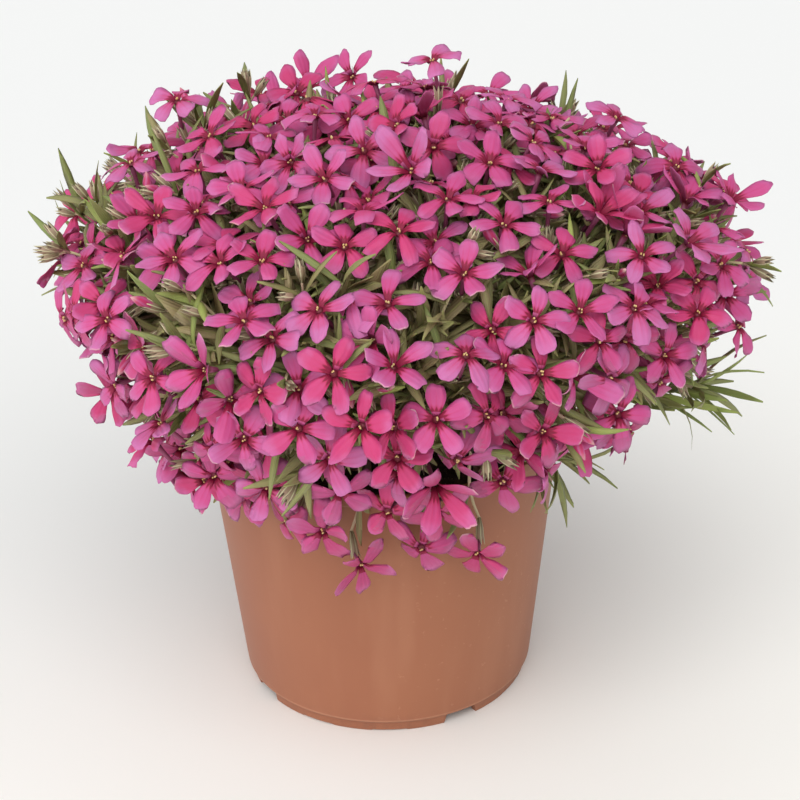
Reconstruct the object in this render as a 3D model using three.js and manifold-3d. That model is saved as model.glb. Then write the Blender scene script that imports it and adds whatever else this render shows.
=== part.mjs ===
// A creeping phlox in full bloom, growing in a round plastic pot.
// Millimetres, +Z up, origin in the middle of the pot's base, front towards -Y.
import * as THREE from "three";
import { mergeVertices } from "three/addons/utils/BufferGeometryUtils.js";
import Module from "manifold-3d";

const wasm = await Module();
wasm.setup();

// ---------- Driving dimensions ----------

const POT = {
  height: 102.6,
  rimRadius: 65, // outside of the lip
  lipHeight: 4,
  lipStep: 1.1, // how far the lip stands out from the wall
  lipWidth: 2.5,
  footRadius: 52.2, // outside of the foot ring
  footWidth: 2.4,
  footHeight: 4.4, // the floor's underside stands this high
  cornerHeight: 5.2, // the wall turns in towards the foot below this
  cornerRadius: 54, // outside of the wall at that height
  wall: 1.4,
  cove: 1.2, // the inside corner above the floor is cut by this, over coveHeight
  coveHeight: 2,
  footStep: { out: 1.1, up: 1.4 }, // the foot ring's upper step, below the rounded corner
  lipEdge: 0.5,
  lipUnder: 1.5, // the lip's inner slope ends this far below it
  sides: 24,
};
const CENTRE_PAD_RADIUS = 8;
const FOOT_NOTCHES = { count: 12, first: -60, width: 14, deep: 3.8, shallow: 0.5, deepEvery: 3 };
const DRAIN_HOLES = { count: 4, first: -60, radius: 4.5, from: 37, sides: 6 };

const SOIL = { top: 93.5, crown: 95, shoulder: 12, clearance: 0.3 };
const STEM = {
  radius: 1.6,
  tip: 1.4,
  sides: 3,
  root: 80, // height of its foot in the soil, and of the collar where it leaves the soil
  collar: 97,
  holeClearance: 0.35,
  spread: 35, // how far from the middle the outermost stems are rooted
  sprigSpread: 45,
  leafy: 17, // length of the straight leafy top
  lifts: [0.66, 0.55, 0.75, 0.45, 0.85, 0.95, 1.1], // ways to bend up between collar and leafy top
};
const STALK = { foot: 0.42, knee: 0.6, throat: 1.3, first: 0.4, step: 2.6 };

// The cushion of bloom: half an ovoid above its widest level, and a taper below it.
const DOME = {
  centre: new THREE.Vector3(3, 0, 166),
  left: 113,
  right: 121,
  depth: 113,
  top: 52.5,
  under: 112,
  power: 1.65,
};
// Where the cushion bulges or falls short: bearing and elevation, how far, and over what angle.
const LOBES = [
  { azimuth: 140, elevation: 40, grows: 4, spread: 30 },
  { azimuth: 5, elevation: 6, grows: 7, spread: 24 },
  { azimuth: -8, elevation: -36, grows: -3, spread: 28 },
  { azimuth: -140, elevation: -38, grows: -1, spread: 28 },
  { azimuth: 60, elevation: 38, grows: 2, spread: 28 },
  { azimuth: -90, elevation: -30, grows: 4, spread: 30 },
  { azimuth: -40, elevation: -20, grows: -3, spread: 26 },
];
// The skirt of the cushion: how low the blooms hang, by bearing, in degrees of elevation. In front it is
// higher, over a spread of so many degrees, and only a few leading blooms hang over the rim.
const SKIRT = { level: -33, rightLift: 12, front: -92, frontLift: 9, spread: 30 };
const POT_CLEARANCE = 7; // blooms lower than this above the rim stay as far outside it

// Blooms that set the character of the cushion: bearing and elevation in degrees, and for those that
// stand out of it, how far in millimetres.
const LEAD_BLOOMS = [
  [6, 74, 14], [169, 30, 14], [178, 19, 4], [10, 25, 4], [16, 35, 0], [131, 30, 2], [148, 58, 0],
  [-135, 31], [-151, 19], [-134, 14], [-125, 16], [-115, 17], [-123, 28], [-111, 39], [-159, 30],
  [-99, 22], [-87, 24], [-72, 32], [-48, 41], [-61, 24], [-45, 26], [-36, 20], [-26, 17],
  [-39, 11], [-47, 5], [-57, 7], [-66, 7], [-75, 16], [-90, 12], [-102, 11], [-114, 8],
  [-119, 0], [-98, 2], [-89, 3], [-78, 4], [-66, -1], [-52, -6], [-104, -8], [-114, -12],
  [-122, -17], [-127, -27], [-83, -6], [-89, -14], [-100, -15], [-64, -13], [-42, -21], [-70, -23],
  [-81, -30], [-91, -29], [-106, -39], [-117, -42], [-98, -48, 5], [-83, -46, 2], [-68, -48, 5], [-114, -25],
  [-135, -33], [-143, 2], [-151, -15],
  [-7, 1], [-13, -9, 6], [-27, -30], [26, 20], [3, 8], [52, 34], [-165, 65],
];

const BLOOM = {
  radius: 11.4,
  vary: 0.7,
  notch: 0.5, // how far in the star is cut between two petals
  tube: 11.5,
  hangingTube: 6,
  eyeDepth: 0.6,
  throatDepth: 3,
  light: new THREE.Vector3(-0.03, -0.18, 0.36), // a flower faces outwards and to the light, which comes
  outwards: 0.62, // from above the front, with a lean of its own
  lean: 1.1,
  leadLean: 0.5,
  cup: 3, // how far its petals rise, in degrees
  cupVary: 22,
};
const LAYERS = [
  { depth: 0.5, vary: 6, apart: 15.4, tries: 900 },
  { depth: 8, vary: 1.2, apart: 33, tries: 1500 },
];
const LEAD_APART = 12.5;
const LEAD_VARY = 3.2;
const LAYER_SHIFT = 13.2; // least sideways distance between blooms of the two layers
const WINDOWS = [ // leafy gaps in the bloom: bearing, elevation, angular radius
  [-168, 18, 9], [-128, 7, 7], [-104, 14, 5], [-103, 3, 6], [-79, 10, 6], [-74, 22, 4],
  [-46, 13, 6], [-20, -20, 10], [-56, -11, 6], [-72, -17, 5], [-106, -17, 5], [-102, 37, 5],
  [3, 36, 5], [12, 63, 6], [171, 38, 6], [95, 5, 9], [60, -12, 8], [130, -15, 8], [110, 35, 6],
  [70, 40, 6], [150, 8, 7], [40, 15, 6],
];
const SHOOTS = 40;
// How far a stem's top lies below the cushion's surface, how high above the skirt the lowest stands,
// and their spread: below 1, more of the stems go to the sides than to the top.
const SHOOT = { depth: 27, depthVary: 4, aboveSkirt: 6, spread: 0.74, turn: 137.508, turnVary: 22 };
// Leafy shoots without bloom that stand out of the cushion: bearing, elevation and depth of the tip, and
// how much more upright than the cushion's surface they grow.
const SPRIGS = [
  { azimuth: -5, elevation: -24, depth: -10, leaves: 9, lift: 0.7 },
  { azimuth: -44, elevation: -38, depth: 10, leaves: 6, lift: 0.5 },
  { azimuth: 171, elevation: -2, depth: 6, leaves: 6, lift: 0.5 },
];
// The dense leafy heart of a shoot, from which its flower stalks and longer leaves stand out.
const HEART = { sides: 5, radius: 15, topRadius: 9, top: 3, middle: 13, low: 34, lowRadius: 2.4, tip: 2 };
const HEART_SIZES = [1, 0.87, 0.73, 0.6, 0.47, 0.36, 0.27];
// A crowded bloom or leaf is the largest of these sizes that fits, with one of these further turns.
const BLOOM_SIZES = [1, 0.94, 0.88, 0.82, 0.76, 0.7, 0.62];
const BLOOM_TURNS = [0, 18, 36, 54];
const FOOT_DEPTHS = [1, 5, 9, 13]; // a crowded stalk leaves one of the nearest stems at one of these depths
const HOMES_TRIED = 5;
const LEAF_SIZES = [1, 0.85, 0.7];
const LEAF_TURNS = [0, 25, -25, 50, -50];
const LEAF = {
  count: 4,
  fewAbove: 30, // one leaf fewer on stems above this elevation
  length: 27,
  vary: 6,
  width: 3.4,
  widthVary: 0.3,
  thick: 0.9,
  foot: 0.45,
  first: 1.6, // depth of the first pair below the stem's top, and the step to the next
  step: 5.2,
  pairTurn: 76,
  turnVary: 40,
  slants: [24, 44], // how far the first pair and the others lean out, in degrees
  slantVary: [12, 24],
  spread: 0.14, // how far the tip bends outwards and droops, as a share of the length
  droop: 0.08,
};
const RIM_CLEARANCE = 6; // stem tops stay this far above the rim
// Blooms near the pot and lower than this above its rim hang on stalks that bend over the rim.
const HANG = { below: 10, within: 96, beyond: 5, over: 4 };

const SEEDS = { blooms: 4107, bloom: 9000, shoot: 500, leaf: 70000 };

// ---------- Small helpers ----------

const DEGREE = Math.PI / 180;
const UP = new THREE.Vector3(0, 0, 1);
const vec = (x, y, z) => new THREE.Vector3(x, y, z);
const mix = (a, b, share) => a.clone().lerp(b, share);
const flat = (v) => vec(v.x, v.y, 0).normalize();

// A repeatable stream of numbers from 0 to 1.
function draws(seed) {
  let state = seed;
  return () => {
    state = (state + 0x6d2b79f5) | 0;
    let t = Math.imul(state ^ (state >>> 15), 1 | state);
    t = (t + Math.imul(t ^ (t >>> 7), 61 | t)) ^ t;
    return ((t ^ (t >>> 14)) >>> 0) / 4294967296;
  };
}

function bearing(azimuth, elevation) {
  const a = azimuth * DEGREE;
  const e = elevation * DEGREE;
  return vec(Math.cos(e) * Math.cos(a), Math.cos(e) * Math.sin(a), Math.sin(e));
}

// ---------- Where everything grows ----------

function angleBetween(a, b) {
  return Math.acos(Math.min(1, Math.max(-1, a.dot(b)))) / DEGREE;
}

// Distance from the cushion's centre to its surface along a direction.
function reach(u) {
  const across = Math.hypot(u.x / (u.x > 0 ? DOME.right : DOME.left), u.y / DOME.depth);
  const upright = Math.abs(u.z) / (u.z > 0 ? DOME.top : DOME.under);
  const plain = (across ** DOME.power + upright ** DOME.power) ** (-1 / DOME.power);
  return LOBES.reduce((sum, lobe) => {
    const away = angleBetween(u, bearing(lobe.azimuth, lobe.elevation)) / lobe.spread;
    return sum + lobe.grows * Math.exp(-away * away);
  }, plain);
}

// Outward direction of the cushion's surface, from the slope of its ovoid.
function outward(u) {
  const side = u.x > 0 ? DOME.right : DOME.left;
  const tall = u.z > 0 ? DOME.top : DOME.under;
  const across = Math.max(Math.hypot(u.x / side, u.y / DOME.depth), 0.002);
  const slope = across ** (DOME.power - 2);
  const lift = (Math.abs(u.z) / tall) ** (DOME.power - 1) / tall;
  return vec(
    (slope * u.x) / side ** 2,
    (slope * u.y) / DOME.depth ** 2,
    Math.sign(u.z) * lift,
  ).normalize();
}

function skirtAt(azimuth) {
  const away = angleBetween(bearing(azimuth, 0), bearing(SKIRT.front, 0)) / SKIRT.spread;
  return SKIRT.level + SKIRT.rightLift * Math.cos(azimuth * DEGREE) + SKIRT.frontLift * Math.exp(-away * away);
}

// A bloom at a bearing and elevation, so many millimetres below the cushion's surface.
function bloomAt(azimuth, elevation, depth) {
  const u = bearing(azimuth, elevation);
  const out = outward(u);
  const place = DOME.centre.clone().addScaledVector(u, reach(u)).addScaledVector(out, -depth);
  return { place, out, depth };
}

function isClear(bloom, others, apart) {
  const out = Math.hypot(bloom.place.x, bloom.place.y) - POT.rimRadius;
  if (Math.max(bloom.place.z - POT.height, out) < POT_CLEARANCE) return false;
  return others.every((other) => {
    const gap = other.place.clone().sub(bloom.place);
    if (other.layer === bloom.layer) return gap.length() >= apart;
    if (gap.length() > 2 * LAYER_SHIFT) return true;
    gap.addScaledVector(bloom.out, -gap.dot(bloom.out));
    return gap.length() >= LAYER_SHIFT;
  });
}

// The blooms: the leading ones first, then as many as fit between them, in two layers.
function growBlooms() {
  const blooms = [];
  LEAD_BLOOMS.forEach(([azimuth, elevation, rise = 0], i) => {
    const draw = draws(SEEDS.bloom - 1 - i);
    const bloom = bloomAt(azimuth, elevation, LEAD_VARY * (draw() - 0.3) - rise);
    bloom.layer = 0;
    bloom.lead = true;
    if (isClear(bloom, blooms, LEAD_APART)) blooms.push(bloom);
  });
  const windows = WINDOWS.map(([azimuth, elevation, radius]) => ({
    u: bearing(azimuth, elevation),
    radius,
  }));
  const draw = draws(SEEDS.blooms);
  LAYERS.forEach((layer, index) => {
    for (let k = 0; k < layer.tries; k++) {
      const azimuth = 360 * draw();
      const low = Math.sin(skirtAt(azimuth) * DEGREE);
      const elevation = Math.asin(low + (1 - low) * draw()) / DEGREE;
      const depth = layer.depth + layer.vary * (draw() - 0.5);
      const u = bearing(azimuth, elevation);
      if (windows.some((window) => angleBetween(u, window.u) < window.radius)) continue;
      const bloom = bloomAt(azimuth, elevation, depth);
      bloom.layer = index;
      if (isClear(bloom, blooms, layer.apart)) blooms.push(bloom);
    }
  });
  blooms.forEach(poseBloom);
  return blooms;
}

// Which way a bloom faces, its turn about its own axis, its size and the cup of its petals.
function poseBloom(bloom, index) {
  const draw = draws(SEEDS.bloom + index);
  const lean = vec(draw() - 0.5, draw() - 0.5, draw() - 0.5);
  lean.multiplyScalar(bloom.lead ? BLOOM.leadLean : BLOOM.lean);
  bloom.axis = bloom.out.clone().multiplyScalar(BLOOM.outwards).add(BLOOM.light).add(lean).normalize();
  bloom.turn = 72 * draw();
  bloom.radius = BLOOM.radius + BLOOM.vary * (2 * draw() - 1);
  bloom.cup = BLOOM.cup + BLOOM.cupVary * (draw() - 0.5);
  const level = Math.hypot(bloom.place.x, bloom.place.y);
  bloom.hangs = bloom.place.z < POT.height + HANG.below && level < HANG.within;
  const knee = flat(bloom.place).multiplyScalar(POT.rimRadius + HANG.beyond);
  bloom.knee = bloom.hangs ? knee.setZ(POT.height + HANG.over) : null;
  const tube = bloom.hangs ? BLOOM.hangingTube : BLOOM.tube;
  bloom.neck = bloom.place.clone().addScaledVector(bloom.axis, -tube);
}

// A stem from its root in the soil to its top, which leans outwards under the cushion.
function shootAt(azimuth, elevation, depth, leaves, spread, lift = 0) {
  const { place, out } = bloomAt(azimuth, elevation, depth);
  out.addScaledVector(UP, lift).normalize();
  const top = place.setZ(Math.max(place.z, POT.height + RIM_CLEARANCE));
  const share = (90 - elevation) / (90 - SKIRT.level);
  const root = vec(Math.cos(azimuth * DEGREE), Math.sin(azimuth * DEGREE), 0);
  root.multiplyScalar(spread * Math.sqrt(share));
  const shoulder = top.clone().addScaledVector(out, -STEM.leafy);
  return { top, out, root, shoulder, leaves, blooms: [] };
}

// The tops of the stems, spread evenly under the cushion, each with the blooms nearest to it.
function growShoots(blooms) {
  const shoots = [];
  for (let k = 0; k < SHOOTS; k++) {
    const draw = draws(SEEDS.shoot + k);
    const azimuth = SHOOT.turn * k + SHOOT.turnVary * (draw() - 0.5);
    const low = Math.sin((skirtAt(azimuth) + SHOOT.aboveSkirt) * DEGREE);
    const sine = 1 - ((k + 0.5) / SHOOTS) ** SHOOT.spread * (1 - low);
    const elevation = Math.asin(sine) / DEGREE;
    const depth = SHOOT.depth + SHOOT.depthVary * (draw() - 0.5);
    const leaves = elevation > LEAF.fewAbove ? LEAF.count - 1 : LEAF.count;
    shoots.push(shootAt(azimuth, elevation, depth, leaves, STEM.spread));
  }
  for (const bloom of blooms) nearest(shoots, bloom)[0].blooms.push(bloom);
  shoots.forEach(setFeet);
  for (const { azimuth, elevation, depth, leaves, lift } of SPRIGS) {
    shoots.push(shootAt(azimuth, elevation, depth, leaves, STEM.sprigSpread, lift));
  }
  return shoots;
}

// The shoots in order of their distance to a bloom's stalk.
function nearest(shoots, bloom) {
  const start = bloom.knee ?? bloom.neck;
  return [...shoots].sort((a, b) => a.top.distanceTo(start) - b.top.distanceTo(start));
}

// Where each stalk leaves the stem: the most upright at the tip, the others in steps below it.
function setFeet(shoot) {
  const upright = (bloom) => (bloom.knee ?? bloom.neck).clone().sub(shoot.top).normalize().dot(shoot.out);
  shoot.blooms.sort((a, b) => upright(b) - upright(a));
  const step = Math.min(STALK.step, (STEM.leafy - 2) / Math.max(shoot.blooms.length, 1));
  shoot.blooms.forEach((bloom, i) => {
    bloom.foot = shoot.top.clone().addScaledVector(shoot.out, -STALK.first - step * i);
  });
}

// The leaves along the top of a stem, in pairs: where each starts, bends and ends.
function growLeaves(shoot, number) {
  const side = Math.abs(shoot.out.z) < 0.9 ? UP.clone() : vec(1, 0, 0);
  const across = side.cross(shoot.out).normalize();
  const along = shoot.out.clone().cross(across);
  return Array.from({ length: shoot.leaves }, (_, i) => {
    const draw = draws(SEEDS.leaf + 20 * number + i);
    const pair = Math.floor(i / 2);
    const turn = (180 * i + LEAF.pairTurn * pair + LEAF.turnVary * draw()) * DEGREE;
    const kind = Math.min(pair, 1);
    const slant = (LEAF.slants[kind] + LEAF.slantVary[kind] * draw()) * DEGREE;
    const sideways = across.clone().multiplyScalar(Math.cos(turn)).addScaledVector(along, Math.sin(turn));
    const heading = shoot.out.clone().multiplyScalar(Math.cos(slant));
    heading.addScaledVector(sideways, Math.sin(slant));
    const length = LEAF.length + LEAF.vary * (2 * draw() - 1);
    const base = shoot.top.clone().addScaledVector(shoot.out, -LEAF.first - LEAF.step * pair);
    const middle = base.clone().addScaledVector(heading, 0.5 * length);
    const bend = sideways.multiplyScalar(LEAF.spread * length).addScaledVector(UP, -LEAF.droop * length);
    const tip = base.clone().addScaledVector(heading, length).add(bend);
    const width = LEAF.width * (1 + LEAF.widthVary * (draw() - 0.5));
    return { base, middle, tip, up: shoot.out, width };
  });
}

// ---------- Solids ----------

function solidOf(geometry) {
  const plain = geometry.clone();
  plain.deleteAttribute("normal");
  plain.deleteAttribute("uv");
  const merged = mergeVertices(plain, 1e-4);
  return new wasm.Manifold(
    new wasm.Mesh({
      numProp: 3,
      vertProperties: new Float32Array(merged.attributes.position.array),
      triVerts: new Uint32Array(merged.index.array),
    }),
  );
}

function geometryOf(solid) {
  const { vertProperties, triVerts, numProp } = solid.getMesh();
  const geometry = new THREE.BufferGeometry();
  geometry.setAttribute("position", new THREE.BufferAttribute(vertProperties, numProp));
  geometry.setIndex(new THREE.BufferAttribute(triVerts, 1));
  geometry.computeVertexNormals();
  return geometry;
}

// A closed skin over a row of rings, each a list of points that runs round the row's direction.
// Rings may differ in their number of points, and a ring of one point closes an end.
function loft(rings) {
  const points = rings.flat();
  const faces = [];
  let start = 0;
  const first = rings[0].length;
  for (let k = 1; k + 1 < first; k++) faces.push(0, k + 1, k);
  for (let r = 0; r + 1 < rings.length; r++) {
    const [n, m] = [rings[r].length, rings[r + 1].length];
    const [a, b] = [(i) => start + (i % n), (j) => start + n + (j % m)];
    let i = n > 1 ? 0 : n;
    let j = m > 1 ? 0 : m;
    while (i < n || j < m) {
      if (j >= m || (i < n && (i + 1) / n <= (j + 1) / m)) {
        faces.push(a(i), a(i + 1), b(j));
        i += 1;
      } else {
        faces.push(a(i), b(j + 1), b(j));
        j += 1;
      }
    }
    start += n;
  }
  const last = rings.at(-1).length;
  for (let k = 1; k + 1 < last; k++) faces.push(start, start + k, start + k + 1);
  const geometry = new THREE.BufferGeometry().setFromPoints(points);
  return geometry.setIndex(faces);
}

// Points round a centre, in the plane across a direction. Height flattens the ring along its second axis.
function ringAt(centre, direction, reference, radius, sides, height = radius) {
  const across = reference.clone().addScaledVector(direction, -reference.dot(direction)).normalize();
  const other = direction.clone().cross(across);
  return Array.from({ length: sides }, (_, k) => {
    const angle = (2 * Math.PI * (k + 0.5)) / sides;
    return centre
      .clone()
      .addScaledVector(across, radius * Math.cos(angle))
      .addScaledVector(other, height * Math.sin(angle));
  });
}

// A rod through points, with a radius at each.
function rod(points, radii, sides, reference) {
  return loft(
    points.map((point, i) => {
      const before = points[Math.max(i - 1, 0)];
      const after = points[Math.min(i + 1, points.length - 1)];
      return ringAt(point, after.clone().sub(before).normalize(), reference, radii[i], sides);
    }),
  );
}

// ---------- The plant's pieces ----------

// The heart: widest about a third of the way down, drawn in to the stem below, and clear of the rim.
function heartSolid(shoot, size) {
  const { top, out } = shoot;
  const reference = Math.abs(out.z) < 0.9 ? UP : vec(1, 0, 0);
  const at = (depth) => top.clone().addScaledVector(out, -depth * size);
  const rings = [
    ringAt(at(HEART.low), out, reference, HEART.lowRadius, 3),
    ringAt(at(HEART.middle), out, reference, HEART.radius * size, HEART.sides),
    ringAt(at(HEART.top), out, reference, HEART.topRadius * size, HEART.sides),
    [top.clone().addScaledVector(out, HEART.tip)],
  ];
  const floor = POT.height + RIM_CLEARANCE / 2;
  rings.flat().forEach((point) => (point.z = Math.max(point.z, floor)));
  return solidOf(loft(rings));
}

function stemSolid(shoot, lift) {
  const low = shoot.root.clone().setZ(STEM.root);
  const collar = shoot.root.clone().setZ(STEM.collar);
  const rise = mix(collar, shoot.shoulder, 0.5);
  rise.z = collar.z + lift * (shoot.shoulder.z - collar.z);
  const points = [low, collar, rise, shoot.shoulder, shoot.top];
  const radii = [STEM.radius, STEM.radius, STEM.radius, STEM.radius, STEM.tip];
  return solidOf(rod(points, radii, STEM.sides, vec(1, 0, 0)));
}

// One flower on its stalk: a five-petalled star on a slender tube that runs down to the stem's top.
function bloomSolid(bloom, size, extraTurn) {
  const { axis, place, knee } = bloom;
  const reference = Math.abs(axis.z) < 0.9 ? UP : vec(1, 0, 0);
  const across = reference.clone().cross(axis).normalize();
  const other = axis.clone().cross(across);
  const radius = bloom.radius * size;
  const rise = Math.tan(bloom.cup * DEGREE);
  const petals = Array.from({ length: 10 }, (_, k) => {
    const angle = (bloom.turn + extraTurn + 36 * k) * DEGREE;
    const out = k % 2 ? BLOOM.notch * radius : radius;
    return place
      .clone()
      .addScaledVector(across, out * Math.cos(angle))
      .addScaledVector(other, out * Math.sin(angle))
      .addScaledVector(axis, out * rise);
  });
  const eye = place.clone().addScaledVector(axis, -BLOOM.eyeDepth);
  const throat = place.clone().addScaledVector(axis, -BLOOM.throatDepth);
  const points = knee ? [bloom.foot, knee, throat] : [bloom.foot, throat];
  const radii = knee ? [STALK.foot, STALK.knee, STALK.throat] : [STALK.foot, STALK.throat];
  const rings = points.map((point, i) => {
    const before = points[Math.max(i - 1, 0)];
    const after = i + 1 < points.length ? points[i + 1] : point.clone().add(axis);
    const direction = after.clone().sub(before).normalize();
    return ringAt(point, direction, across, radii[i], 3);
  });
  return solidOf(loft([...rings, petals, [eye]]));
}

function leafSolid(leaf, size, extraTurn) {
  const swing = (point) => {
    const arm = point.clone().sub(leaf.base).multiplyScalar(size);
    return leaf.base.clone().add(arm.applyAxisAngle(leaf.up, extraTurn * DEGREE));
  };
  const end = swing(leaf.tip);
  const middle = swing(leaf.middle);
  const heading = middle.clone().sub(leaf.base).normalize();
  const across = heading.clone().cross(leaf.up).normalize();
  return solidOf(
    loft([
      ringAt(leaf.base, heading, across, LEAF.foot, 3),
      ringAt(middle, heading, across, leaf.width / 2 / Math.cos(30 * DEGREE), 3, LEAF.thick),
      [end],
    ]),
  );
}

// Adds a piece to its shoot in the first of its forms that meets no other piece away from its own stem.
function fit(shoot, shoots, forms) {
  for (const form of forms) {
    const solid = form();
    const piece = { solid, box: solid.boundingBox() };
    const crosses = shoots.some((other) => {
      const same = other === shoot ? shoot : null;
      return other.pieces.some((each) => meets(piece, each, same));
    });
    if (!crosses) {
      shoot.pieces.push(piece);
      return true;
    }
  }
  return false;
}

// Whether two pieces cross. Beside the stem that they both spring from, they may.
function meets(piece, other, sameShoot) {
  const apart = ["0", "1", "2"].some(
    (i) => piece.box.min[i] > other.box.max[i] || other.box.min[i] > piece.box.max[i],
  );
  if (apart || (sameShoot && other.joins)) return false;
  const common = piece.solid.intersect(other.solid);
  if (common.isEmpty() || !sameShoot) return !common.isEmpty();
  return !common.subtract(sameShoot.heart).isEmpty();
}

function bloomForms(bloom) {
  return BLOOM_SIZES.flatMap((size) => BLOOM_TURNS.map((turn) => () => bloomSolid(bloom, size, turn)));
}

function leafForms(leaf) {
  return LEAF_SIZES.flatMap((size) => LEAF_TURNS.map((turn) => () => leafSolid(leaf, size, turn)));
}

// Gives each shoot its pieces in turn: stem, heart, blooms and leaves, all clear of the other shoots.
function plantShoots(shoots, pot, soil) {
  const ground = [pot, soil].map((solid) => ({ solid, box: solid.boundingBox() }));
  const all = [...shoots, { pieces: ground }];
  shoots.forEach((shoot) => (shoot.pieces = []));
  for (const shoot of shoots) {
    fit(shoot, all, STEM.lifts.map((lift) => () => stemSolid(shoot, lift)));
    shoot.pieces[0].joins = true;
  }
  for (const shoot of shoots) {
    fit(shoot, all, HEART_SIZES.map((size) => () => heartSolid(shoot, size)));
    const heart = shoot.pieces.at(-1);
    heart.joins = true;
    shoot.heart = heart.solid;
  }
  const crowded = [];
  for (const shoot of shoots) {
    for (const bloom of shoot.blooms) {
      if (!fit(shoot, all, bloomForms(bloom))) crowded.push(bloom);
    }
  }
  for (const bloom of crowded) {
    const homes = nearest(shoots, bloom).slice(0, HOMES_TRIED);
    homes.some((shoot) =>
      FOOT_DEPTHS.some((depth) => {
        bloom.foot = shoot.top.clone().addScaledVector(shoot.out, -depth);
        return fit(shoot, all, bloomForms(bloom));
      }),
    );
  }
  shoots.forEach((shoot, number) => {
    for (const leaf of growLeaves(shoot, number)) {
      fit(shoot, all, leafForms(leaf));
    }
  });
}

// ---------- Pot and soil ----------

// A closed profile of [radius, height] points turned about the upright axis.
function turned(profile, sides) {
  const points = profile.map(([r, z]) => new THREE.Vector2(r, z));
  return new THREE.LatheGeometry(points, sides).rotateX(Math.PI / 2);
}

function wallRadiusAt(z) {
  const top = POT.rimRadius - POT.lipStep;
  const share = (z - POT.cornerHeight) / (POT.height - POT.lipHeight - POT.cornerHeight);
  return POT.cornerRadius + share * (top - POT.cornerRadius);
}

// A box that crosses the foot ring at one bearing.
function notchAt(bearingDegrees, depth) {
  const width = 2 * POT.footRadius * Math.sin((FOOT_NOTCHES.width / 2) * DEGREE);
  const box = new THREE.BoxGeometry(4 * POT.footWidth, width, 2 * depth);
  box.translate(POT.footRadius - POT.footWidth / 2, 0, 0);
  return solidOf(box.rotateZ(bearingDegrees * DEGREE));
}

function potSolid() {
  const lipFoot = POT.height - POT.lipHeight;
  const floorTop = POT.footHeight + POT.wall;
  const inner = wallRadiusAt(lipFoot) - POT.wall;
  const footInner = POT.footRadius - POT.footWidth;
  const profile = [
    [0, 0],
    [CENTRE_PAD_RADIUS, 0],
    [CENTRE_PAD_RADIUS, POT.footHeight],
    [footInner, POT.footHeight],
    [footInner, 0],
    [POT.footRadius, 0],
    [POT.footRadius + POT.footStep.out, POT.footStep.up],
    [POT.cornerRadius, POT.cornerHeight],
    [wallRadiusAt(lipFoot), lipFoot],
    [POT.rimRadius, lipFoot + POT.lipEdge],
    [POT.rimRadius, POT.height - POT.lipEdge],
    [POT.rimRadius - POT.lipEdge, POT.height],
    [POT.rimRadius - POT.lipWidth, POT.height],
    [inner, lipFoot - POT.lipUnder],
    [wallRadiusAt(floorTop + POT.coveHeight) - POT.wall, floorTop + POT.coveHeight],
    [wallRadiusAt(floorTop) - POT.wall - POT.cove, floorTop],
    [0, floorTop],
  ];
  let pot = solidOf(turned(profile, POT.sides));
  for (let k = 0; k < FOOT_NOTCHES.count; k++) {
    const depth = k % FOOT_NOTCHES.deepEvery ? FOOT_NOTCHES.shallow : FOOT_NOTCHES.deep;
    const step = 360 / FOOT_NOTCHES.count;
    pot = pot.subtract(notchAt(-90 + FOOT_NOTCHES.first + k * step, depth));
  }
  for (let k = 0; k < DRAIN_HOLES.count; k++) {
    const { radius, sides, from, first, count } = DRAIN_HOLES;
    const drill = new THREE.CylinderGeometry(radius, radius, 4 * POT.wall, sides);
    drill.rotateX(Math.PI / 2).translate(from, 0, POT.footHeight + POT.wall / 2);
    drill.rotateZ((first - 90 + (k * 360) / count) * DEGREE);
    pot = pot.subtract(solidOf(drill));
  }
  return pot;
}

function soilSolid(shoots) {
  const floor = POT.footHeight + POT.wall + SOIL.clearance;
  const side = (z) => wallRadiusAt(z) - POT.wall - SOIL.clearance;
  const cove = floor + POT.coveHeight + SOIL.clearance;
  const profile = [
    [0, floor],
    [side(floor) - POT.cove, floor],
    [side(cove), cove],
    [side(SOIL.top), SOIL.top],
    [side(SOIL.top) - SOIL.shoulder, SOIL.crown],
    [0, SOIL.crown],
  ];
  let soil = solidOf(turned(profile, POT.sides));
  const radius = STEM.radius + 2 * STEM.holeClearance;
  for (const { root } of shoots) {
    const ends = [root.clone().setZ(STEM.root - SOIL.clearance), root.clone().setZ(SOIL.crown + 1)];
    soil = soil.subtract(solidOf(rod(ends, [radius, radius], STEM.sides, vec(1, 0, 0))));
  }
  return soil;
}

// ---------- Assembly ----------

const MATERIALS = {
  pot: new THREE.MeshStandardMaterial({ color: "#b07a5e", roughness: 0.6, metalness: 0 }),
  soil: new THREE.MeshStandardMaterial({ color: "#3a2a20", roughness: 1, metalness: 0 }),
  plant: new THREE.MeshStandardMaterial({ color: "#d2528f", roughness: 0.7, metalness: 0 }),
};

function named(name, solid, material) {
  const mesh = new THREE.Mesh(geometryOf(solid), material);
  mesh.name = name;
  return mesh;
}

const shoots = growShoots(growBlooms());
const pot = potSolid();
const soil = soilSolid(shoots);
plantShoots(shoots, pot, soil);
const plant = new THREE.Group();
plant.add(named("pot", pot, MATERIALS.pot));
plant.add(named("soil", soil, MATERIALS.soil));
shoots.forEach((shoot, k) => {
  const whole = shoot.pieces.map((piece) => piece.solid).reduce((sum, solid) => sum.add(solid));
  plant.add(named("shoot_" + String(k + 1).padStart(2, "0"), whole, MATERIALS.plant));
});

export default plant;
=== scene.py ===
"""A creeping phlox in full bloom in its nursery pot.

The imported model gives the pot, the soil and one node for each leafy stem. The operators below dress them:
the pot and the soil as finer shapes, and each stem with its leaves, calyces, buds and open flowers.
"""

import math
from functools import cache
from types import SimpleNamespace

import bmesh
import bpy
from mathutils import Matrix, Vector, kdtree, noise


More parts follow.
